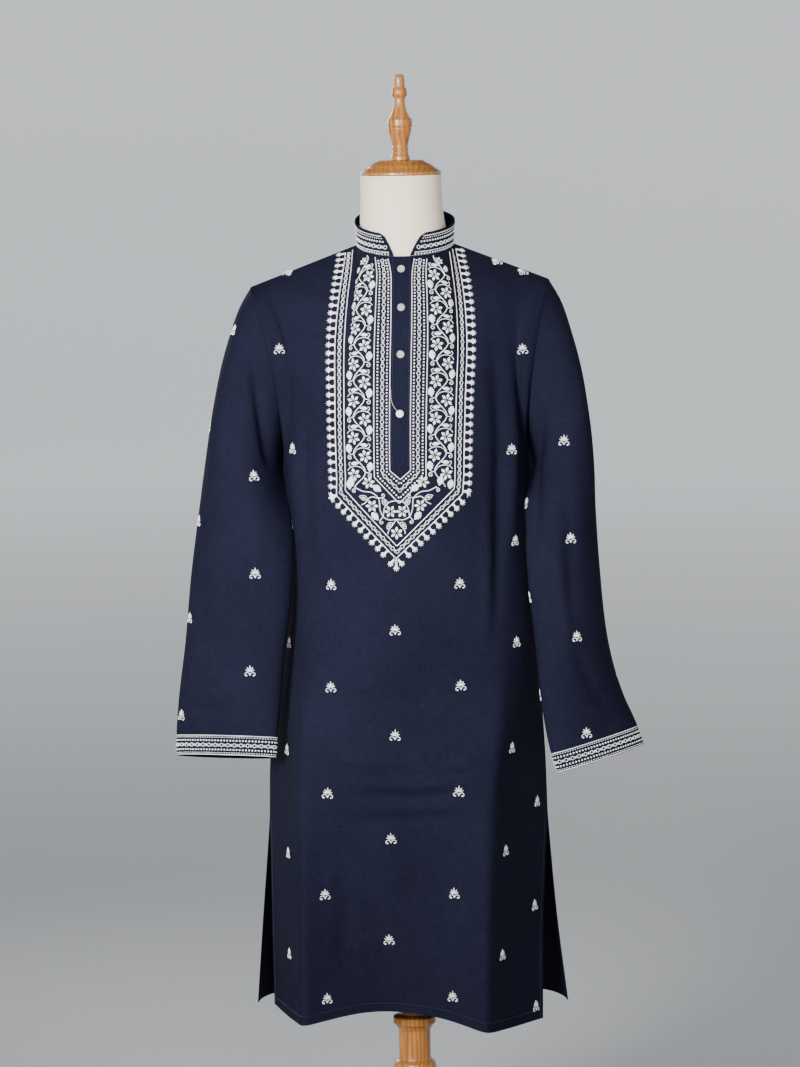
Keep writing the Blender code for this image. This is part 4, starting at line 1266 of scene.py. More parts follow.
def sewn_row(kind, start, end, across=0.0, cord_width=CORD_WIDTH):
    """A row of one kind between two distances along its track."""
    if kind == "cord":
        return [cord(straight((start, across), (end, across)), cord_width)]
    return {"beads": beads, "chain": chain, "dashes": dashes}[kind](start, end, across)


print("rows can be:", [row.__name__ for row in (chain, beads, dashes)])


# %% Gather the stitches of an area
class Stitching:
    """The stitches of one area of the garment, gathered into one mesh."""

    def __init__(self, name):
        self.name = name
        self.points = []
        self.faces = []
        self.count = 0

    def lay(self, track, shapes):
        """Lays flat shapes on a track's cloth."""
        flat = []
        for points, faces in shapes:
            self.faces += [tuple(corner + self.count for corner in face) for face in faces]
            self.count += len(points)
            flat.append(points)
        self.points.append(track.lay(np.concatenate(flat)))

    def make(self):
        return new_piece(self.name, np.concatenate(self.points), self.faces, sharp=75)


border = Stitching("border_stitches")
print("ready for:", border.name)

# %% [markdown]
# ## The front's border
# The border frames the opening as a set of parallel bands, which turn at two corners and meet in
# a point below it. Each band is a track, found from how far it lies from the placket's edge. The
# wide band holds a vine: a waving stem with a flower in every bend. Its last bend joins its mirror
# image in the point, so that part is drawn as a table of stems and shapes for one half.

# %% Bands that run down, turn and meet in a point
# How far each band lies from the placket's edge, and the heights of its corner and its tip
Band = namedtuple("Band", "out corner tip")
BAND_SHAPE = (
    Band(0.0010, 1.1965, 1.1835),
    Band(0.0238, 1.1870, 1.1490),
    Band(0.0666, 1.1680, 1.0870),
    Band(0.0796, 1.1600, 1.0690),
)
# The bands draw together towards the neck, where the placket opens a little
Spread = namedtuple("Spread", "z share open")
SPREAD = (
    Spread(1.150, 0.96, 0.0),
    Spread(1.298, 1.00, 0.0),
    Spread(1.390, 1.01, 0.0),
    Spread(1.446, 0.95, 0.0),
    Spread(1.478, 0.88, 0.0006),
    Spread(1.500, 0.78, 0.0048),
    Spread(1.530, 0.70, 0.0070),
)
TOP_MARGIN = 0.0035
BAND_TOP = 1.530
BAND_STEPS = 110
POINT_STEP = 0.003


def side_of_band(out, side, low):
    """A band's points in X and Z on one side, from the neck down to a height."""
    z = np.linspace(BAND_TOP, low, BAND_STEPS)
    reach = PLACKET_HALF_WIDTH + out * read(SPREAD, "share", z) + read(SPREAD, "open", z)
    x = np.array([placket_line(height) for height in z]) + side * reach
    seam = front_grid[-1, FRONT_STEPS.armhole : -FRONT_STEPS.armhole]
    inside = z < np.interp(x, seam[:, 0], seam[:, 2]) - TOP_MARGIN
    return np.column_stack([x, z])[inside]


def on_cloth(points):
    """The track on the front cloth behind points in X and Z."""
    found = [seen(front_surface, x, z) for x, z in points]
    return Track(front_surface, [place for place, _ in found], [normal for _, normal in found])


def band_track(out):
    """The whole band: down the left side, to the tip and up the right side."""
    corner, tip = (float(read(BAND_SHAPE, name, out)) for name in ("corner", "tip"))
    left, right = side_of_band(out, -1, corner), side_of_band(out, 1, corner)
    point = (placket_line(tip), tip)
    down = straight(left[-1], point, POINT_STEP)[1:]
    up = straight(point, right[-1], POINT_STEP)[1:]
    return on_cloth(np.concatenate([left, down, up, right[-2::-1]]))


print("length of the outer band, m:", round(band_track(BAND_SHAPE[-1].out).length, 3))

# %% The border's lines and its fringe of buds
Line = namedtuple("Line", "out kind")
BORDER_LINES = (
    Line(0.0010, "cord"),
    Line(0.0053, "beads"),
    Line(0.0118, "chain"),
    Line(0.0188, "beads"),
    Line(0.0238, "cord"),
    Line(0.0666, "cord"),
    Line(0.0731, "chain"),
    Line(0.0796, "cord"),
)
BUD_SPACING = 0.0121
FIRST_BUD = 0.0165
BUD_FOOT = -0.0006
TipBud = namedtuple("TipBud", "along across turn")
TIP_STALK = 0.0060
TIP_BUDS = (
    TipBud(0.0, -0.0055, -90),
    TipBud(0.0022, -0.0010, -48),
    TipBud(-0.0022, -0.0010, -132),
)


def border_rows(stitches):
    """The parallel lines, knots and chains."""
    for line in BORDER_LINES:
        track = band_track(line.out)
        stitches.lay(track, sewn_row(line.kind, 0, track.length))


def border_buds(stitches):
    """The fringe of buds outside the last line, with three together at the tip."""
    track = band_track(BORDER_LINES[-1].out)
    points = track.places
    tip = float(track.distances[points[:, 2].argmin()])
    shapes = []
    for start in (0, track.length):
        count = int((abs(tip - start) - FIRST_BUD) / BUD_SPACING) + 1
        for k in range(count):
            along = tip + math.copysign(FIRST_BUD + k * BUD_SPACING, start - tip)
            shapes += bud((along, BUD_FOOT), -90)
    stitches.lay(track, shapes)
    lowest = track.distances.searchsorted(tip)
    end = on_cloth([(x, BAND_SHAPE[-1].tip) for x in points[lowest - 1 : lowest + 2, 0]])
    trio = [cord(straight((0, 0), (0, -TIP_STALK)))]
    for each in TIP_BUDS:
        trio += bud((each.along, each.across), each.turn)
    stitches.lay(end, [(shape + (end.length / 2, 0, 0), faces) for shape, faces in trio])


border_rows(border)
border_buds(border)
print("border points:", border.count)

# %% The vine and its meeting in the point
VINE_OUT = 0.0452
VINE_BEND = 0.0264
VINE_SWING = 0.0084
VINE_LOW = 1.168
VINE_FIRST = 0.027
SHORT = 0.001
STEM_END = 0.004
LAST_BEND = 0.012
THIN_CORD = 0.0011
# Two side stems, from a bend: along the vine and across it
CROOK = (
    (0.0, 0.0076), (-0.0049, 0.0040), (-0.0078, -0.0024),
    (-0.0072, -0.0112), (-0.0050, -0.0156), (-0.0022, -0.0176),
)
HOOK = ((-0.0070, -0.0120), (-0.0096, -0.0152), (-0.0128, -0.0156), (-0.0142, -0.0132))


def vine(length, hand):
    """A waving stem with a flower, leaves and tendrils in every bend, and one more at its top."""
    along = np.linspace(STEM_END, length - STEM_END, round(length / CURVE_STEP))
    swing = VINE_SWING * np.cos(math.pi * (length - VINE_FIRST - along) / VINE_BEND)
    made = [cord(np.column_stack([along, swing * hand]))]
    for k in range(int((length - VINE_FIRST - LAST_BEND) / VINE_BEND) + 1):
        at = length - VINE_FIRST - k * VINE_BEND
        way = hand if k % 2 == 0 else -hand
        made += flower((at + 0.0042, -0.0084), 12 * (-1) ** k, way, 0.0100)
        made += leaf((at + 0.0195, -0.0154), 8, way)
        made += drop((at - 0.0122, -0.0066), 96, way)
        for path in (CROOK, HOOK):
            made.append(cord(curve(np.array(path) + (at, 0)) * (1, way), THIN_CORD))
        made += curl((at + 0.0005, 0.0082), (at + 0.0056, 0.0140), 0.0031, -1, way)
    made += flower((0.0105, 0.0004), 0, way, 0.0068)
    made += leaf((0.0215, 0.0112), 8, way, 0.0115, 0.0072)
    return made


print("a bend of the vine, mm:", VINE_BEND * 1000)

# %% The left half of the point
# In metres from the tip of the wide band: stems first, then shapes
STEMS = (
    ((-0.0585, 0.0850), (-0.0480, 0.0800), (-0.0350, 0.0780), (-0.0255, 0.0700), (-0.0235, 0.0540)),
    ((-0.0235, 0.0540), (-0.0190, 0.0430), (-0.0110, 0.0386), (0.0, 0.0390)),
    ((-0.0255, 0.0700), (-0.0360, 0.0715), (-0.0450, 0.0625), (-0.0500, 0.0600)),
    ((-0.0190, 0.0430), (-0.0165, 0.0560), (-0.0100, 0.0640), (-0.0010, 0.0660)),
    ((0.0, 0.0390), (-0.0070, 0.0290), (-0.0110, 0.0240), (-0.0125, 0.0180)),
)
Shape = namedtuple("Shape", "make x z turn")
POINT_SHAPES = (
    Shape(flower, -0.0392, 0.0925, 10),
    Shape(flower, -0.0347, 0.0585, 0),
    Shape(flower, -0.0084, 0.0505, 0),
    Shape(leaf, -0.0270, 0.0840, -35),
    Shape(leaf, -0.0305, 0.0435, -50),
    Shape(leaf, -0.0640, 0.0930, -75),
    Shape(open_leaf, -0.0100, 0.0300, -130),
    Shape(open_leaf, -0.0470, 0.0705, 160),
    Shape(open_leaf, -0.0165, 0.0645, 118),
)
TENDRIL_RADIUS = 0.0027
Tendril = namedtuple("Tendril", "root centre sense")
TENDRILS = (
    Tendril((-0.0255, 0.0700), (-0.0190, 0.0740), 1),
    Tendril((-0.0190, 0.0430), (-0.0212, 0.0350), 1),
    Tendril((-0.0560, 0.0840), (-0.0600, 0.0800), 1),
)


def point_motif():
    """Both halves of the vine's end, and the flower under them."""
    made = flower((0, 0.0190), 30, 1, 0.0096)
    for side in (1, -1):
        made += [cord(curve(stem) * (side, 1)) for stem in STEMS]
        half = []
        for shape in POINT_SHAPES:
            half += shape.make((shape.x, shape.z), shape.turn)
        for tendril in TENDRILS:
            half += curl(tendril.root, tendril.centre, TENDRIL_RADIUS, tendril.sense)
        for points, faces in half:
            made.append((points * (side, 1, 1), [face[::side] for face in faces]))
    return made


for side in (-1, 1):
    vine_track = on_cloth(side_of_band(VINE_OUT, side, VINE_LOW))
    border.lay(vine_track, vine(vine_track.length, 1 if side < 0 else -1))
tip_z = BAND_SHAPE[2].tip
tip_x = placket_line(tip_z)
tip_track = on_cloth([(tip_x + x, tip_z) for x in (-SHORT, 0.0, SHORT)])
border.lay(tip_track, [(points + (SHORT, 0, 0), faces) for points, faces in point_motif()])
border_stitches = border.make()
print("border faces:", len(border_stitches.data.polygons))

# %% [markdown]
# ## Collar and cuffs
# The collar and both cuffs carry the same rows as the placket's edge: lines, short dashes, knots and
# a chain. A cuff has one closed track in the middle of its strip. The collar's ends are round, so
# each of its rows is a track of its own, which starts at the same distance from the slanting end.

# %% Rows round the collar and the cuffs
STRIP_ROWS = (
    Line(0.0138, "cord"),
    Line(0.0112, "dashes"),
    Line(0.0067, "beads"),
    Line(0.0, "chain"),
    Line(-0.0067, "beads"),
    Line(-0.0112, "dashes"),
    Line(-0.0138, "cord"),
)
CUFF_MIDDLE = 0.0152
# The collar's rows, as shares of its height
COLLAR_ROWS_SEWN = (
    Line(0.060, "beads"),
    Line(0.150, "cord"),
    Line(0.370, "chain"),
    Line(0.610, "beads"),
    Line(0.750, "dashes"),
    Line(0.850, "cord"),
)
COLLAR_MARGIN = 0.0050
STRIP_CORD = 0.0012


def collar_track(share):
    """A track along the collar at a share of its height."""
    row = int(np.clip(np.searchsorted(COLLAR_SHARES, share), 1, COLLAR_ROWS - 1))
    low, high = COLLAR_SHARES[row - 1 : row + 1]
    part = (share - low) / (high - low)
    places = collar_rows[row - 1] * (1 - part) + collar_rows[row] * part
    return Track(collar_surface, places, collar_normals[row])


def cuff_track(tube):
    """A closed track round a sleeve, at the middle of the cuff's strip."""
    grid = tube.grid
    heights = run_lengths(grid, 0)
    places = []
    ways = []
    for column in [*range(grid.shape[1]), 0]:
        row = int(np.searchsorted(heights[:, column], CUFF_MIDDLE))
        low, high = heights[row - 1 : row + 1, column]
        share = (CUFF_MIDDLE - low) / (high - low)
        places.append(grid[row - 1, column] * (1 - share) + grid[row, column] * share)
        ways.append(tube.normals[row, column])
    return Track(tube.surface, places, ways)


collar_surface = Surface(collar_rows)
collar_work = Stitching("collar_stitches")
for line in COLLAR_ROWS_SEWN:
    track = collar_track(line.out)
    end = track.length - COLLAR_MARGIN
    collar_work.lay(track, sewn_row(line.kind, COLLAR_MARGIN, end, cord_width=STRIP_CORD))
collar_stitches = collar_work.make()

Tube = namedtuple("Tube", "name grid normals surface")
SLEEVES = (
    Tube("left", left_grid, left_normals, Surface(left_grid, closed=True)),
    Tube("right", right_grid, right_normals, Surface(right_grid, closed=True)),
)
cuffs = {}
for tube in SLEEVES:
    track = cuff_track(tube)
    work = Stitching(f"{tube.name}_cuff_stitches")
    for line in STRIP_ROWS:
        work.lay(track, sewn_row(line.kind, 0, track.length, line.out, STRIP_CORD))
    cuffs[tube.name] = work
print("cuff points:", {name: work.count for name, work in cuffs.items()})

# %% [markdown]
# ## Sprigs
# Sprigs are scattered in a half-drop repeat: every second column is set lower by half a step. The
# same rule carries them round to the back and the hidden sides of the sleeves.

# %% Scatter the sprigs
COLUMN_STEP = 0.095
ROW_STEP = 0.151
EVEN_FIRST = 0.5085
ODD_FIRST = 0.4255
SPRIG_TOP = 1.175
# Each petal of the fan: its direction in degrees, its length and its width
Petal = namedtuple("Petal", "turn length width")
FAN = (
    Petal(90, 0.0102, 0.0023),
    Petal(56, 0.0087, 0.0021),
    Petal(124, 0.0087, 0.0021),
    Petal(24, 0.0078, 0.0019),
    Petal(156, 0.0078, 0.0019),
)
FAN_FOOT = (0, 0.0004)
SCROLL = (
    (0.0, -0.0040), (0.0022, -0.0012), (0.0042, -0.0003),
    (0.0066, -0.0012), (0.0077, -0.0034), (0.0064, -0.0053),
)
SIDE_MARGIN = 0.010
HEM_MARGIN = 0.012
SPRIG_LEAN = 3


def sprig():
    """A fan of five petals over a short foot and two scrolls that end in a knot."""
    petals = [blade(petal.length, petal.width, 0.52, sharp=1.2) for petal in FAN]
    made = [pad(placed(outline, FAN_FOOT, petal.turn)) for outline, petal in zip(petals, FAN)]
    made.append(pad(placed(blade(0.0044, 0.0022), (0, -0.0012), -90)))
    for hand in (1, -1):
        made.append(cord(curve(np.array(SCROLL)) * (hand, 1), THIN_CORD))
        made.append(pad(disc((0.0051 * hand, -0.0050), 0.0013, 6)))
    return made


print("shapes in a sprig:", len(sprig()))


# %% Hang sprigs on the panels
def hanging_places(grid, out, first, top):
    """Places on a panel at one distance from its centre line, in rows of one step."""
    arcs = run_lengths(grid, 1)
    arcs = arcs - arcs[:, [grid.shape[1] // 2]]
    line = np.array([[np.interp(out, arc, row[:, k]) for k in range(3)] for arc, row in zip(arcs, grid)])
    inside = (arcs[:, 0] + SIDE_MARGIN < out) & (out < arcs[:, -1] - SIDE_MARGIN)
    found = []
    for z in np.arange(first, top, ROW_STEP):
        near = int(np.abs(line[:, 2] - z).argmin())
        if inside[near] and line[0, 2] < z - HEM_MARGIN:
            found.append(line[near])
    return found


def scatter(stitches, surface, places):
    """Lays a sprig at each place, each with a small turn of its own."""
    for index, place in enumerate(places):
        lean = math.radians(SPRIG_LEAN * math.sin(index * 2.4))
        stitches.lay(spot(surface, *surface.nearest(place), lean), sprig())


# Sprigs on the chest and the shoulders, beside the border, as seen from the front and the back
FRONT_HIGH = (
    (0.1544, 1.218), (0.1724, 1.362), (-0.1630, 1.223), (-0.1790, 1.368),
    (-0.1664, 1.4749), (0.1383, 1.4860), (0.1759, 1.4710),
)
BACK_HIGH = (
    (0.0, 1.250), (0.0, 1.400), (0.090, 1.325), (-0.090, 1.325), (0.090, 1.468), (-0.090, 1.468),
    (0.160, 1.250), (-0.160, 1.250), (0.172, 1.395), (-0.172, 1.395),
)
# For each column outwards: where its sprigs end below the border, and how much lower they start
FRONT_TOP = (1.02, 1.10, SPRIG_TOP, SPRIG_TOP)
LOWERED = (0.0, 0.0, 0.027, 0.037)
front_work = Stitching("front_sprigs")
back_work = Stitching("back_sprigs")
back_surface = Surface(back_grid)
for column in range(-3, 4):
    first = EVEN_FIRST if column % 2 == 0 else ODD_FIRST
    first -= LOWERED[abs(column)]
    out = column * COLUMN_STEP
    front_places = hanging_places(front_grid, out, first, FRONT_TOP[abs(column)])
    scatter(front_work, front_surface, front_places)
    scatter(back_work, back_surface, hanging_places(back_grid, out, first, SPRIG_TOP))
scatter(front_work, front_surface, [on_front(x, z) for x, z in FRONT_HIGH])
back_high = [seen(back_surface, x, z, facing=1)[0] for x, z in BACK_HIGH]
scatter(back_work, back_surface, back_high)
print("sprig points:", front_work.count, back_work.count)

# %% Sprigs of the sleeves
# The grid column of each line of sprigs, and how far its first one is above the cuff
SleeveLine = namedtuple("SleeveLine", "column first")
SLEEVE_STEP = 0.1425
SLEEVE_MARGIN = 0.020
LEFT_LINES = (SleeveLine(30, 0.123), SleeveLine(8, 0.056), SleeveLine(74, 0.123), SleeveLine(52, 0.056))
RIGHT_LINES = (SleeveLine(60, 0.043), SleeveLine(38, 0.114), SleeveLine(16, 0.043), SleeveLine(82, 0.114))
for tube, lines in zip(SLEEVES, (LEFT_LINES, RIGHT_LINES)):
    heights = run_lengths(tube.grid, 0)
    for line in lines:
        for height in np.arange(line.first, heights[-1, line.column] - SLEEVE_MARGIN, SLEEVE_STEP):
            row = int(np.abs(heights[:, line.column] - height).argmin())
            place = row, line.column
            cuffs[tube.name].lay(spot(tube.surface, tube.grid[place], tube.normals[place]), sprig())
STITCHED = [border_stitches, collar_stitches, front_work.make(), back_work.make()]
STITCHED += [work.make() for work in cuffs.values()]
print("stitched pieces:", {piece.name: len(piece.data.polygons) for piece in STITCHED})

# %% [markdown]
# ## The dress form
# The form is a padded torso in a cream jersey cover, with a straight neck and no limbs. A sculptor
# would shape it from a ball. Here it follows the cloth's own grid, moved in, so that the kurta lies
# on it with an even gap and nothing pokes through. Its neck is lofted from the neckline's loop.

# %% The form's body and neck
Form = namedtuple("Form", "z half_width front back")
FORM_SECTIONS = (
    Form(0.700, 0.1660, -0.121, 0.116),
    Form(0.706, 0.1700, -0.125, 0.120),
    Form(0.760, 0.1740, -0.126, 0.124),
    Form(0.840, 0.1690, -0.120, 0.118),
    Form(0.930, 0.1520, -0.112, 0.102),
    Form(1.020, 0.1420, -0.108, 0.092),
    Form(1.110, 0.1460, -0.116, 0.096),
)
FORM_STEPS = Steps(neck=18, shoulder=8, armhole=14, skirt=4, hip=6, yoke=30)
FORM_HEIGHTS = np.concatenate([[0.700, 0.703], np.linspace(0.706, 1.110, 30)])
FORM_SHIFT = -0.003
FORM_SIDE_Y = 0.004
FORM_SEAT = 0.0022
FORM_CHEST_GAP = 0.0125
ARMHOLE_CLEAR = 0.005
ARMHOLE_DISH = 0.005
CLEAR_FROM = 0.51
CLEAR_OVER = 0.30
CHEST_GAP_FALL = 1.3
NECK_RINGS = 10
FORM_ROUNDS = 8
WELD = 0.00002


def form_section(column, z, front):
    """A row of the form below the chest, on a smooth oval."""
    turn = np.abs(column) * math.pi / 2
    half_width = read(FORM_SECTIONS, "half_width", z)
    depth = read(FORM_SECTIONS, "front" if front else "back", z)
    y = FORM_SIDE_Y + (depth - FORM_SIDE_Y) * np.clip(np.cos(turn), 0, 1) ** ROUNDNESS
    return stack(FORM_SHIFT + np.sign(column) * half_width * np.sin(turn), y, z)


def form_grid(front):
    """The form's outer points behind one panel: an oval below, then the panel moved in."""
    order = columns(FORM_STEPS) if front else columns(FORM_STEPS)[::-1]
    rows = [form_section(order, z, front) for z in FORM_HEIGHTS]
    panel = relax(panel_points(front, FORM_STEPS), yoke_weights(FORM_STEPS), FORM_ROUNDS)
    normals = panel_normals(panel, FORM_STEPS)
    first = FORM_STEPS.skirt + FORM_STEPS.hip
    near = np.clip((np.abs(order) - CLEAR_FROM) / CLEAR_OVER, 0, 1)
    seat = SOLID_WALL + FORM_SEAT
    for index in range(FORM_STEPS.yoke + 1):
        share = index / FORM_STEPS.yoke
        gap = seat + (FORM_CHEST_GAP - seat) * (1 - share) ** CHEST_GAP_FALL
        gap = gap + ARMHOLE_CLEAR * near * share
        rows.append(panel[first + index] - normals[first + index] * gap[:, None])
    return np.array(rows)


def join_seams(front_half, back_half):
    """Gives the two halves of the form the same points along their shared edges."""
    flipped = back_half[:, ::-1]
    order = np.abs(columns(FORM_STEPS))
    seam = (order > NECK_COLUMN - TINY) & (order < SHOULDER_COLUMN + TINY)
    for edge in ((slice(None), 0), (slice(None), -1), (-1, seam)):
        shared = (front_half[edge] + flipped[edge]) / 2
        front_half[edge] = shared
        flipped[edge] = shared


print("form sections:", len(FORM_SECTIONS))


# %% Close the form and raise its neck
def boundary_loops(mesh):
    """The open edges of a mesh, as lists of vertices in order."""
    open_edges = {edge for edge in mesh.edges if edge.is_boundary}
    loops = []
    while open_edges:
        edge = open_edges.pop()
        loop = [edge.verts[0], edge.verts[1]]
        while True:
            step = next((e for e in loop[-1].link_edges if e in open_edges), None)
            if step is None:
                break
            open_edges.remove(step)
            loop.append(step.other_vert(loop[-1]))
        loops.append(loop[:-1])
    return loops


def fan(mesh, loop, centre):
    tip = mesh.verts.new(centre)
    for a, b in zip(loop, loop[1:] + loop[:1]):
        mesh.faces.new((a, b, tip))


def raise_neck(mesh, loop, centre):
    """The neck: it curves in from the neckline's loop to a straight round column."""
    turns = [math.atan2(v.co.y - centre.y, v.co.x - centre.x) for v in loop]
    start = [v.co.copy() for v in loop]
    for step in range(1, NECK_RINGS + 1):
        share = step / NECK_RINGS
        round_in = 1 - (1 - share) ** 3
        ring = []
        for turn, low in zip(turns, start):
            x = low.x + (NECK_RADIUS * math.cos(turn) - low.x) * round_in
            y = low.y + (NECK_RADIUS * math.sin(turn) - low.y) * round_in
            ring.append(mesh.verts.new((x, y, low.z + (NECK_TOP - low.z) * share)))
        for i in range(len(loop)):
            after = (i + 1) % len(loop)
            mesh.faces.new((loop[i], loop[after], ring[after], ring[i]))
        loop = ring
    fan(mesh, loop, (0, 0, NECK_TOP))


def make_form():
    """The padded torso with its neck: one smooth body, closed at the armholes, neck and bottom."""
    halves = [form_grid(True), form_grid(False)]
    join_seams(*halves)
    mesh = bmesh.new()
    for grid in halves:
        made = [[mesh.verts.new(p) for p in row] for row in grid]
        for low, high in zip(made, made[1:]):
            for i in range(len(low) - 1):
                mesh.faces.new((low[i], low[i + 1], high[i + 1], high[i]))
    bmesh.ops.remove_doubles(mesh, verts=mesh.verts[:], dist=WELD)
    for loop in boundary_loops(mesh):
        centre = sum((v.co for v in loop), Vector()) / len(loop)
        if abs(centre.x) < 0.1 and centre.z > CHEST:
            raise_neck(mesh, loop, centre)
        elif centre.z > CHEST:
            fan(mesh, loop, (centre.x - math.copysign(ARMHOLE_DISH, centre.x), centre.y, centre.z))
        else:
            fan(mesh, loop, (0, 0, TORSO_BOTTOM))
    bmesh.ops.recalc_face_normals(mesh, faces=mesh.faces[:])
    data = bpy.data.meshes.new("form_body")
    mesh.to_mesh(data)
    mesh.free()
    return ride_smooth(data, 50)


form = make_form()
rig.replaces(form, "form_torso")
print("form faces:", len(form.data.polygons))

# %% [markdown]
# ## Turned wood
# The cap, the finial and the stand are turned on a lathe, so each is one profile swept round its
# axis. A Screw modifier would do it too. A loop over the profile's points keeps each piece's radius
# at each height in one short table, and a curve through the points rounds the turner's beads.

# %% Turn a profile on its axis
# Each profile is a run of (radius, height) pairs, from the bottom up
TURN_STEPS = 96
CURVE_STEPS = 5
SHARP_STEP = 0.0007


def fine_profile(profile):
    """A denser run through a profile: curved between its points, straight where they are close."""
    points = np.array(profile)
    lengths = chord_lengths(points)
    secants = np.diff(points, axis=0) / np.diff(lengths)[:, None]
    before, after = secants[:-1], secants[1:]
    smooth = np.where(before * after > 0, 2 * before * after / (before + after + TINY), 0)
    slopes = np.concatenate([secants[:1], smooth, secants[-1:]])
    places = []
    for start, span in zip(lengths, np.diff(lengths)):
        steps = 1 if span < SHARP_STEP else CURVE_STEPS
        places += [start + span * step / steps for step in range(steps)]
    return smooth_run(lengths, points, np.array([*places, lengths[-1]]), slopes)


def lathe(name, profile, steps=TURN_STEPS):
    """A turned piece, closed at both ends."""
    run = fine_profile(profile)
    angles = whole_turn(steps)
    points = [(0, 0, run[0][1])]
    for radius, z in run:
        points += [(radius * math.cos(a), radius * math.sin(a), z) for a in angles]
    points.append((0, 0, run[-1][1]))
    faces = []
    last = len(points) - 1
    top = 1 + (len(run) - 1) * steps
    for step in range(steps):
        after = (step + 1) % steps
        faces.append((0, 1 + after, 1 + step))
        faces.append((last, top + step, top + after))
        for ring in range(len(run) - 1):
            a = 1 + ring * steps
            faces.append((a + step, a + after, a + steps + after, a + steps + step))
    return new_piece(name, points, faces, sharp=40)


print("steps round a turned piece:", TURN_STEPS)

# %% The profiles of the stand and the finial
FINIAL_PROFILE = (
    (0.0136, CAP_TOP + SEAM_GAP), (0.0139, CAP_TOP + 0.0010), (0.0138, 1.6410), (0.0132, 1.6424),
    (0.0115, 1.6445), (0.0122, 1.6475), (0.0111, 1.6498), (0.0121, 1.6535), (0.0113, 1.6563),
    (0.0121, 1.6610), (0.0137, 1.6680), (0.0160, 1.6760), (0.0172, 1.6826), (0.0168, 1.6838),
    (0.0178, 1.6856), (0.0179, 1.6900), (0.0177, 1.6946), (0.0160, 1.6965), (0.0135, 1.7010),
    (0.0110, 1.7060), (0.0088, 1.7140), (0.0080, 1.7225), (0.0082, 1.7262), (0.0108, 1.7298),
    (0.0112, 1.7340), (0.0105, 1.7385), (0.0080, 1.7417), (0.0079, 1.7520), (0.0070, 1.7575),
    (0.0045, FINIAL_TOP),
)
CAP_PROFILE = (
    (NECK_RADIUS - 0.0008, NECK_TOP + SEAM_GAP), (NECK_RADIUS, NECK_TOP + 0.0012),
    (NECK_RADIUS, 1.6188), (NECK_RADIUS - 0.0008, 1.6196), (0.0560, 1.6212), (0.0500, 1.6250),
    (0.0450, 1.6290), (0.0400, 1.6315), (0.0350, 1.6340), (0.0330, CAP_TOP),
)
POLE_RADIUS = 0.02335
FLANGE_RADIUS = 0.0315
BASE_RADIUS = 0.190
BASE_THICKNESS = 0.026
POLE_PROFILE = (
    (FLANGE_RADIUS - 0.0005, BASE_THICKNESS + SEAM_GAP), (FLANGE_RADIUS, BASE_THICKNESS + 0.0012),
    (FLANGE_RADIUS, 0.0400), (0.0250, 0.0480), (POLE_RADIUS, 0.0600), (POLE_RADIUS, 0.1700),
    (POLE_RADIUS, POLE_BEAD - 0.0138), (0.0296, POLE_BEAD - 0.0085), (FLANGE_RADIUS, POLE_BEAD),
    (0.0296, POLE_BEAD + 0.0085), (POLE_RADIUS, POLE_BEAD + 0.0138),
    (POLE_RADIUS, POLE_FLANGE - 0.0210), (0.0258, POLE_FLANGE - 0.0165),
    (0.0262, POLE_FLANGE - 0.0155), (FLANGE_RADIUS - 0.0010, POLE_FLANGE - 0.0106),
    (FLANGE_RADIUS, POLE_FLANGE - 0.0096), (FLANGE_RADIUS, POLE_FLANGE - 0.0010),
    (FLANGE_RADIUS - 0.0010, POLE_FLANGE), (0.0205, POLE_FLANGE + 0.0028),
    (0.0200, POLE_FLANGE + 0.0036), (0.0200, TORSO_BOTTOM - SEAM_GAP),
)
BASE_PROFILE = (
    (BASE_RADIUS - 0.005, 0.0), (BASE_RADIUS - 0.001, 0.0016), (BASE_RADIUS, 0.004),
    (BASE_RADIUS, BASE_THICKNESS - 0.009), (BASE_RADIUS - 0.0015, BASE_THICKNESS - 0.0045),
    (BASE_RADIUS - 0.005, BASE_THICKNESS - 0.0018), (BASE_RADIUS - 0.012, BASE_THICKNESS),
)
WOOD_PIECES = []
for node, profile in (
    ("finial", FINIAL_PROFILE),
    ("neck_cap", CAP_PROFILE),
    ("pole", POLE_PROFILE),
    ("base", BASE_PROFILE),
):
    turned = lathe(f"turned_{node}", profile)
    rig.replaces(turned, node)
    WOOD_PIECES.append(turned)
print("turned pieces:", [piece.name for piece in WOOD_PIECES])

# %% [markdown]
# ## Seams, buttons and a loose thread
# The hem, the slits, the placket and the collar are topstitched in navy thread, which shows only as
# a fine row of dents and glints. The buttons are shell, 11 mm across. The upper three have a carved
# middle and the lowest is plain, with one loose end of its white sewing thread beside it.

# %% Topstitching
HEM_STITCH = 0.012
SLIT_STITCH = 0.008
PLACKET_STITCH = 0.0022
PLACKET_FIRST_ROW = 8
BINDING_SHARE = 0.90
SEAM_SPACING = 0.0033
SEAM_DASH = (0.0024, 0.00055)


def seam_track(surface, grid, normals, path):
    """A track through a grid's points, given as (row, column) pairs."""
    places = tuple(np.array(path).T)
    return Track(surface, grid[places], normals[places])


def topstitch(work, track, across):
    work.lay(track, dashes(0, track.length, across, SEAM_SPACING, SEAM_DASH))


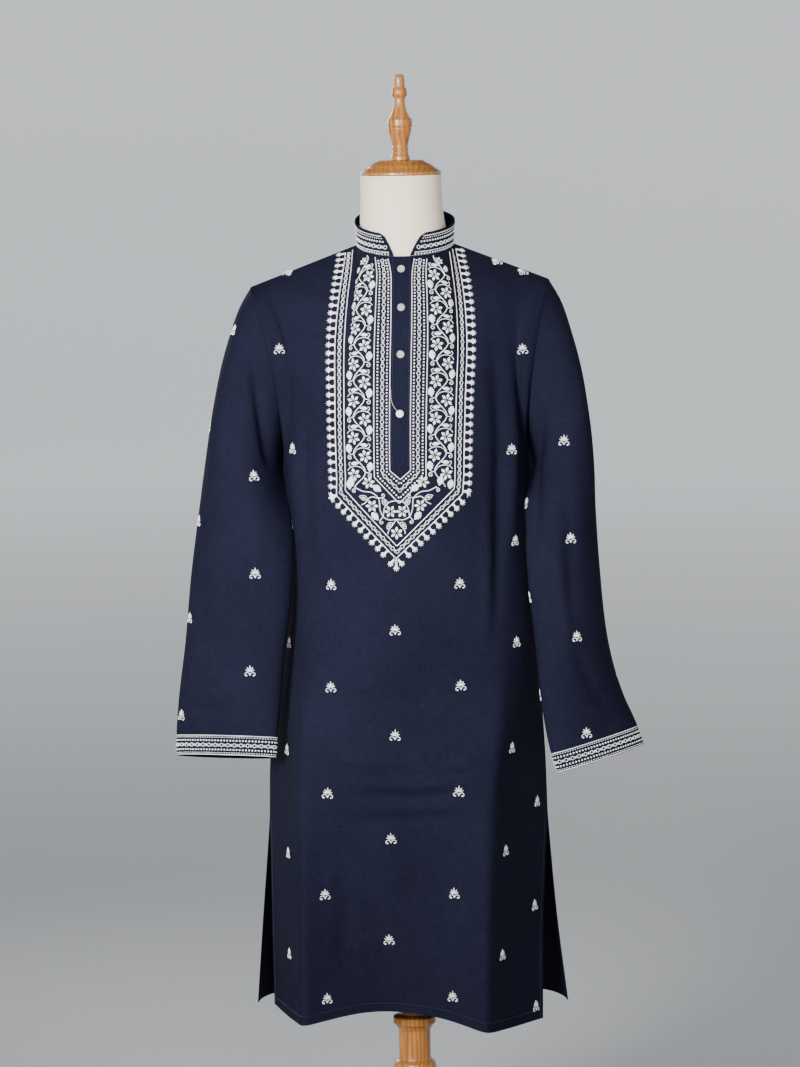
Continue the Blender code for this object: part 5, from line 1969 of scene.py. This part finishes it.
seam_work = Stitching("topstitching")
placket_surface = Surface(placket_rows)
for surface, grid, normals, steps in (
    (front_surface, front_grid, front_normals, FRONT_STEPS),
    (back_surface, back_grid, back_normals, BACK_STEPS),
):
    last = grid.shape[1] - 1
    low = int(np.abs(run_lengths(grid, 0)[:, last // 2] - HEM_STITCH).argmin())
    topstitch(seam_work, seam_track(surface, grid, normals, [(low, k) for k in range(last + 1)]), 0)
    for column, across in ((0, -SLIT_STITCH), (last, SLIT_STITCH)):
        path = [(row, column) for row in range(steps.skirt + 1)]
        topstitch(seam_work, seam_track(surface, grid, normals, path), across)
for column, across in ((0, -PLACKET_STITCH), (PLACKET_COLUMNS - 1, PLACKET_STITCH)):
    path = [(row, column) for row in range(PLACKET_FIRST_ROW, PLACKET_ROWS)]
    topstitch(seam_work, seam_track(placket_surface, placket_rows, placket_normals, path), across)
topstitch(seam_work, collar_track(BINDING_SHARE), 0)
topstitching = seam_work.make()
print("topstitching faces:", len(topstitching.data.polygons))

# %% Buttons and the loose thread
CARVED_BUTTON = (
    (0.0047, 0.0), (0.0055, 0.0011), (0.0054, 0.0018), (0.0050, 0.0024), (0.0045, 0.0026),
    (0.0041, 0.0024), (0.0037, 0.0019), (0.0032, 0.0018), (0.0027, 0.0020), (0.0023, 0.0019),
    (0.0016, 0.0016), (0.0008, 0.0019), (0.0002, 0.0020),
)
PLAIN_BUTTON = (
    (0.0047, 0.0), (0.0055, 0.0011), (0.0054, 0.0018), (0.0049, 0.0024), (0.0040, 0.0026),
    (0.0022, 0.0025), (0.0002, 0.0025),
)


def button_seat(node):
    """Where a button sits: the middle of its underside, and its own upright direction."""
    points = np.array([node.matrix_world @ vertex.co for vertex in node.data.vertices])
    middle = points.mean(axis=0)
    out = np.linalg.svd(points - middle)[2][2]
    out = -out * np.sign(out[1])
    seat = middle + out * ((points - middle) @ out).min()
    turn = Vector((0, 0, 1)).rotation_difference(Vector(out))
    return Matrix.Translation(seat) @ turn.to_matrix().to_4x4()


BUTTON_STEPS = 40
BUTTON_PIECES = []
for number, profile in enumerate((CARVED_BUTTON, CARVED_BUTTON, CARVED_BUTTON, PLAIN_BUTTON), 1):
    node = f"button_{number}"
    made = lathe(f"shell_{node}", profile, BUTTON_STEPS)
    made.data.transform(button_seat(frame["nodes"][node]))
    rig.replaces(made, node)
    BUTTON_PIECES.append(made)
# The thread's path in X and Z, from the button down to the placket's edge
THREAD_PATH = np.array(
    ((-0.0190, 1.3130), (-0.0186, 1.3000), (-0.0170, 1.2930), (-0.0145, 1.2875), (-0.0105, 1.2825))
)
THREAD_WIDTH = 0.0006
THREAD_HEIGHT = 0.0010
middle = THREAD_PATH[2]
hit, normal = seen(placket_surface, *middle)
thread_work = Stitching("loose_thread")
thread_cord = cord(curve(THREAD_PATH - middle), THREAD_WIDTH, THREAD_HEIGHT)
thread_work.lay(spot(placket_surface, hit, normal), [thread_cord])
loose_thread = thread_work.make()
print("buttons:", [piece.name for piece in BUTTON_PIECES])

# %% [markdown]
# ## Nodes as sums
# A finish is a graph of nodes. Written out node by node it is hard to read, so one small class wraps
# a node's output and lets Python's own operators add the Math nodes. `1 - mask` then works as it
# does with numbers. Colours don't pass through Math nodes, which would turn them grey: they are
# blended by a Mix node.

# %% A socket that can be added and multiplied


class Socket:
    """An output of one of a material's nodes."""

    def __init__(self, tree, socket=None):
        self.tree = tree
        self.socket = socket

    def node(self, kind, settings, values, out=0):
        """Adds a node: its settings first, then the values or links of its sockets."""
        made = self.tree.nodes.new(kind)
        for name, value in settings.items():
            if name == "stops":
                set_stops(made.color_ramp, value)
            else:
                setattr(made, name, value)
        for name, value in values.items():
            if isinstance(value, Socket):
                self.tree.links.new(value.socket, made.inputs[name])
            else:
                made.inputs[name].default_value = value
        return Socket(self.tree, made.outputs[out])

    def maths(self, operation, *values):
        return self.node("ShaderNodeMath", {"operation": operation}, dict(enumerate(values)))

    def __add__(self, other):
        return self.maths("ADD", self, other)

    def __radd__(self, other):
        return self.maths("ADD", other, self)

    def __sub__(self, other):
        return self.maths("SUBTRACT", self, other)

    def __rsub__(self, other):
        return self.maths("SUBTRACT", other, self)

    def __mul__(self, other):
        return self.maths("MULTIPLY", self, other)

    def __rmul__(self, other):
        return self.maths("MULTIPLY", other, self)

    def into(self, name):
        """Feeds this value to one of the surface's own sockets."""
        surface = self.tree.nodes["Principled BSDF"]
        self.tree.links.new(self.socket, surface.inputs[name])


print("operators on sockets: + - *")


# %% Finishes, noise and grain
def set_stops(ramp, stops):
    """Gives a colour ramp its stops, as (place, colour) pairs."""
    while len(ramp.elements) > 1:
        ramp.elements.remove(ramp.elements[-1])
    for index, (place, colour) in enumerate(stops):
        stop = ramp.elements[0] if index == 0 else ramp.elements.new(place)
        stop.position = place
        stop.color = (*colour, 1)


def finish(name, constants):
    """A new material with these constants on its surface, and the start of its node graph."""
    made = bpy.data.materials.new(name)
    made.use_nodes = True
    surface = made.node_tree.nodes["Principled BSDF"]
    for socket, value in constants.items():
        surface.inputs[socket].default_value = value
    return made, Socket(made.node_tree)


def own_place(graph):
    """The place on the object, in its own coordinates."""
    return graph.node("ShaderNodeTexCoord", {}, {}, out=3)


def noise(graph, coordinates, scale, detail=2.0):
    """A soft random value from 0 to 1, stretched by a scale for each direction."""
    values = {0: coordinates, 1: scale}
    place = graph.node("ShaderNodeVectorMath", {"operation": "MULTIPLY"}, values)
    return graph.node("ShaderNodeTexNoise", {}, {"Vector": place, "Scale": 1.0, "Detail": detail})


def tint(graph, mask, low, high):
    """Gives the surface a colour between two others."""
    values = {0: mask, 6: (*low, 1), 7: (*high, 1)}
    graph.node("ShaderNodeMix", {"data_type": "RGBA"}, values, out=2).into("Base Color")


def bump(graph, height, distance, strength):
    """Raises the surface's grain by a height."""
    values = {"Height": height, "Distance": distance, "Strength": strength}
    graph.node("ShaderNodeBump", {}, values).into("Normal")


print("helpers:", [helper.__name__ for helper in (finish, noise, tint, bump)])

# %% [markdown]
# ## Navy slub cloth
# The kurta is woven from yarns that swell and thin along their length, called slubs. They show as
# fine darker and lighter dashes both along and across the cloth. An image of a weave could be tiled,
# but the tile's repeat would show. Noise that is stretched nearly fiftyfold along each yarn
# direction gives dashes that never repeat, and two sine waves add the threads themselves.

# %% Finish of the navy cloth
NAVY_DARK = (0.0040, 0.0042, 0.0105)
NAVY_LIGHT = (0.0140, 0.0150, 0.0330)
THREADS_PER_METRE = 1250


def navy_cloth():
    constants = {"Roughness": 0.90, "Sheen Weight": 0.0, "Specular IOR Level": 0.04}
    made, graph = finish("navy_slub_cloth", constants)
    cloth = graph.node("ShaderNodeUVMap", {"uv_map": "cloth"}, {})
    along = noise(graph, cloth, (2600, 55, 1), 3.0)
    across = noise(graph, cloth, (55, 2600, 1), 3.0)
    soft = noise(graph, cloth, (9, 7, 1))
    parts = graph.node("ShaderNodeSeparateXYZ", {}, {0: cloth})
    upright = Socket(graph.tree, parts.socket.node.outputs[1])
    turns = 2 * math.pi * THREADS_PER_METRE
    weave = graph.maths("SINE", parts * turns) * graph.maths("SINE", upright * turns)
    slub = along * 0.5 + across * 0.5
    tone = (slub - 0.5) * 3.0 + (soft - 0.5) * 0.5 + weave * 0.10 + 0.42
    tint(graph, tone, NAVY_DARK, NAVY_LIGHT)
    (0.92 - slub * 0.20).into("Roughness")
    bump(graph, slub * 0.8 + weave * 0.25, 0.0005, 0.55)
    return made


def cover(pieces, material, slot):
    """Gives pieces a finish, and says which of the part's slots it fills."""
    for piece in pieces:
        piece.data.materials.append(material)
        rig.slot(piece, slot)


cover(CLOTH_PIECES, navy_cloth(), "cloth")
print("navy cloth on", len(CLOTH_PIECES), "pieces")

# %% [markdown]
# ## Jersey, wood and pearl
# The form's cover is a fine cream knit. The wood is pale, with a honey varnish over long dark
# growth lines, so it has a clear coat over a ramp of browns. The buttons are hard, slightly clouded
# pearl: grey where they are carved, white on the plain one.

# %% Finishes of the form, the stand and the buttons


def jersey():
    made, graph = finish("cream_jersey", {"Roughness": 0.78, "Sheen Weight": 0.10})
    place = own_place(graph)
    loops = noise(graph, place, (900, 900, 1500), 2.0)
    soft = noise(graph, place, (14, 14, 9))
    tone = (loops - 0.5) * 0.5 + (soft - 0.5) * 0.7 + 0.5
    tint(graph, tone, (0.78, 0.67, 0.50), (0.91, 0.80, 0.64))
    (0.72 + loops * 0.12).into("Roughness")
    bump(graph, loops, 0.0003, 0.35)
    return made


def varnished_wood():
    constants = {"Coat Weight": 0.28, "Coat Roughness": 0.15, "Specular IOR Level": 0.4}
    made, graph = finish("honey_varnished_wood", constants)
    place = own_place(graph)
    warp = noise(graph, place, (26, 26, 4), 3.0)
    fibre = noise(graph, place, (520, 520, 22), 3.0)
    parts = graph.node("ShaderNodeSeparateXYZ", {}, {0: place})
    growth = graph.maths("SINE", parts * 900 + warp * 26) * 0.5 + 0.5
    tone = growth * 0.28 + fibre * 0.62 + 0.05
    stops = (
        (0.15, (0.17, 0.056, 0.010)),
        (0.42, (0.31, 0.115, 0.022)),
        (0.70, (0.45, 0.190, 0.042)),
        (0.95, (0.57, 0.270, 0.068)),
    )
    graph.node("ShaderNodeValToRGB", {"stops": stops}, {0: tone}).into("Base Color")
    (0.42 - fibre * 0.16).into("Roughness")
    bump(graph, fibre, 0.0002, 0.15)
    return made


def pearl(name, dark, light):
    made, graph = finish(name, {"Roughness": 0.18, "Coat Weight": 0.4, "Coat Roughness": 0.1})
    place = own_place(graph)
    cloud = noise(graph, place, (420, 420, 420), 2.0)
    tint(graph, cloud, dark, light)
    (0.14 + cloud * 0.16).into("Roughness")
    return made


def satin_thread():
    made, graph = finish("white_satin_thread", {"Roughness": 0.42, "Sheen Weight": 0.05})
    place = own_place(graph)
    strands = noise(graph, place, (2600, 2600, 900), 2.0)
    soft = noise(graph, place, (160, 160, 160))
    tone = strands * 0.6 + soft * 0.4
    tint(graph, tone, (0.68, 0.68, 0.68), (0.95, 0.95, 0.94))
    (0.34 + strands * 0.22).into("Roughness")
    bump(graph, strands, 0.0003, 0.5)
    return made


cream = jersey()
wood = varnished_wood()
carved_pearl = pearl("grey_pearl", (0.16, 0.15, 0.14), (0.62, 0.60, 0.57))
plain_pearl = pearl("white_pearl", (0.66, 0.64, 0.61), (0.90, 0.89, 0.86))
navy_thread, _ = finish("navy_thread", {"Base Color": (0.010, 0.012, 0.030, 1), "Roughness": 0.6})
cover([form], cream, "form_cover")
cover([topstitching], navy_thread, "cloth")
cover([*STITCHED, loose_thread], satin_thread(), "cloth")
cover(WOOD_PIECES, wood, "wood")
cover(BUTTON_PIECES[:-1], carved_pearl, "buttons")
cover(BUTTON_PIECES[-1:], plain_pearl, "buttons")
print("finishes:", cream.name, wood.name, carved_pearl.name)

# %% [markdown]
# ## Floor and light
# A clothing studio hangs a roll of paper that curves from the wall onto the floor. Here the paper is
# a wide round bowl, so the object has the same pale ground from every side. Its floor is lit by the
# lamps, and further out it glows a little, as paper does that has lamps of its own. Big soft lamps
# in front give the dark cloth a bright middle and dark sides.

# %% Build the studio
BOWL_FLOOR = 12.0
BOWL_CURVE = 2.0
BOWL_TOP = 6.0
BOWL_STEPS = 96
BOWL_RIM = BOWL_FLOOR + BOWL_CURVE
FLOOR_RINGS = (0.001, 1, 2, 4, 8)
SKY_COLOUR = (0.90, 0.93, 1.0, 1)
SKY_STRENGTH = 0.07


def paper_finish():
    """Pale paper that glows more and more with its distance from the middle."""
    made, graph = finish("pale_paper", {"Roughness": 0.9, "Emission Strength": 1.0})
    place = own_place(graph)
    away = graph.node("ShaderNodeVectorMath", {"operation": "LENGTH"}, {0: place}, out=1)
    stops = ((0.05, (0.0, 0.0, 0.0)), (0.45, (0.30, 0.31, 0.32)), (0.9, (0.47, 0.49, 0.51)))
    glow = graph.node("ShaderNodeValToRGB", {"stops": stops}, {0: away * (1 / BOWL_FLOOR)})
    glow.into("Emission Color")
    tint(graph, noise(graph, place, (40, 40, 40)), (0.58, 0.60, 0.62), (0.62, 0.64, 0.66))
    return made


def bowl():
    """A round floor whose rim curves up into a wall."""
    turns = np.linspace(0, math.pi / 2, 9)
    radii = [*FLOOR_RINGS, *(BOWL_FLOOR + BOWL_CURVE * np.sin(turns)), BOWL_RIM]
    heights = [*(0 * ring for ring in FLOOR_RINGS), *(BOWL_CURVE * (1 - np.cos(turns))), BOWL_TOP]
    around = whole_turn(BOWL_STEPS)
    points = [(r * math.cos(a), r * math.sin(a), z) for r, z in zip(radii, heights) for a in around]
    mesh = bpy.data.meshes.new("studio_paper")
    mesh.from_pydata(points, [], grid_faces(len(radii), BOWL_STEPS, True, 0))
    mesh.shade_smooth()
    mesh.materials.append(paper_finish())
    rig.stage(link_object(mesh))


Lamp = namedtuple("Lamp", "name place aim size power spread")
LAMPS = (
    Lamp("key", (-1.3, -2.8, 1.75), (-0.06, 0, 1.05), 0.8, 19, 50),
    Lamp("fill", (0.3, -4.2, 2.0), (0.0, 0, 1.66), 1.0, 9, 50),
    Lamp("top", (0.0, -0.8, 3.9), (0, 0, 1.2), 1.6, 7, 120),
    Lamp("back_left", (-1.6, 3.4, 2.2), (0, 0, 1.1), 1.4, 16, 90),
    Lamp("back_right", (2.6, 2.8, 2.6), (0, 0, 1.1), 1.6, 7, 120),
)


def soft_lamp(lamp):
    """A square area lamp that faces its aim."""
    data = bpy.data.lights.new(lamp.name, "AREA")
    data.size = lamp.size
    data.energy = lamp.power
    data.spread = math.radians(lamp.spread)
    made = link_object(data)
    made.location = lamp.place
    made.visible_camera = False
    made.rotation_euler = (Vector(lamp.aim) - Vector(lamp.place)).to_track_quat("-Z", "Y").to_euler()


bowl()
for lamp in LAMPS:
    soft_lamp(lamp)
world = bpy.data.worlds.new("studio")
world.use_nodes = True
sky = world.node_tree.nodes["Background"]
sky.inputs["Color"].default_value = SKY_COLOUR
sky.inputs["Strength"].default_value = SKY_STRENGTH
bpy.context.scene.world = world
print("lamps:", [lamp.name for lamp in LAMPS])

# A panel is cut narrower at the armholes and the neck, so its area is given too. The last lines
# write the sizes of the solids and of the dressed model.

# %% Say how the cloth was cut
border_stitches, collar_stitches, front_sprigs, back_sprigs, left_stitches, right_stitches = STITCHED
front_work_sewn = [border_stitches, front_sprigs, topstitching]
Cut = namedtuple("Cut", "piece width length area held rests sewn")
CUTS = (
    Cut(front, 0.615, 1.170, 0.602, "draped", ["form_torso"], front_work_sewn),
    Cut(back, 0.615, 1.170, 0.572, "draped", ["form_torso"], [back_sprigs]),
    Cut(left_sleeve, 0.400, 0.690, 0.219, "hung", ["front", "back"], [left_stitches]),
    Cut(right_sleeve, 0.370, 0.700, 0.202, "hung", ["front", "back"], [right_stitches]),
    Cut(collar, 0.444, 0.0385, 0.0146, "folded", ["front", "back"], [collar_stitches]),
    Cut(placket, 0.028, 0.330, 0.0090, "laid", ["front"], [loose_thread]),
)
for cut in CUTS:
    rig.sheet(
        cut.piece,
        flat=(cut.width, cut.length),
        held=cut.held,
        rests_on=cut.rests,
        area=cut.area,
        with_pieces=cut.sewn,
    )
print("sheets:", [cut.piece.name for cut in CUTS])

# %% Write the sizes and finish
dressed_low, dressed_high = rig.bounds()
with open("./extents.json", "w") as size_file:
    json.dump(
        {
            "cad": [list(CAD_LOW), list(CAD_HIGH)],
            "visual": [list(dressed_low), list(dressed_high)],
        },
        size_file,
    )
print("dressed height, m:", round(dressed_high.z - dressed_low.z, 3))
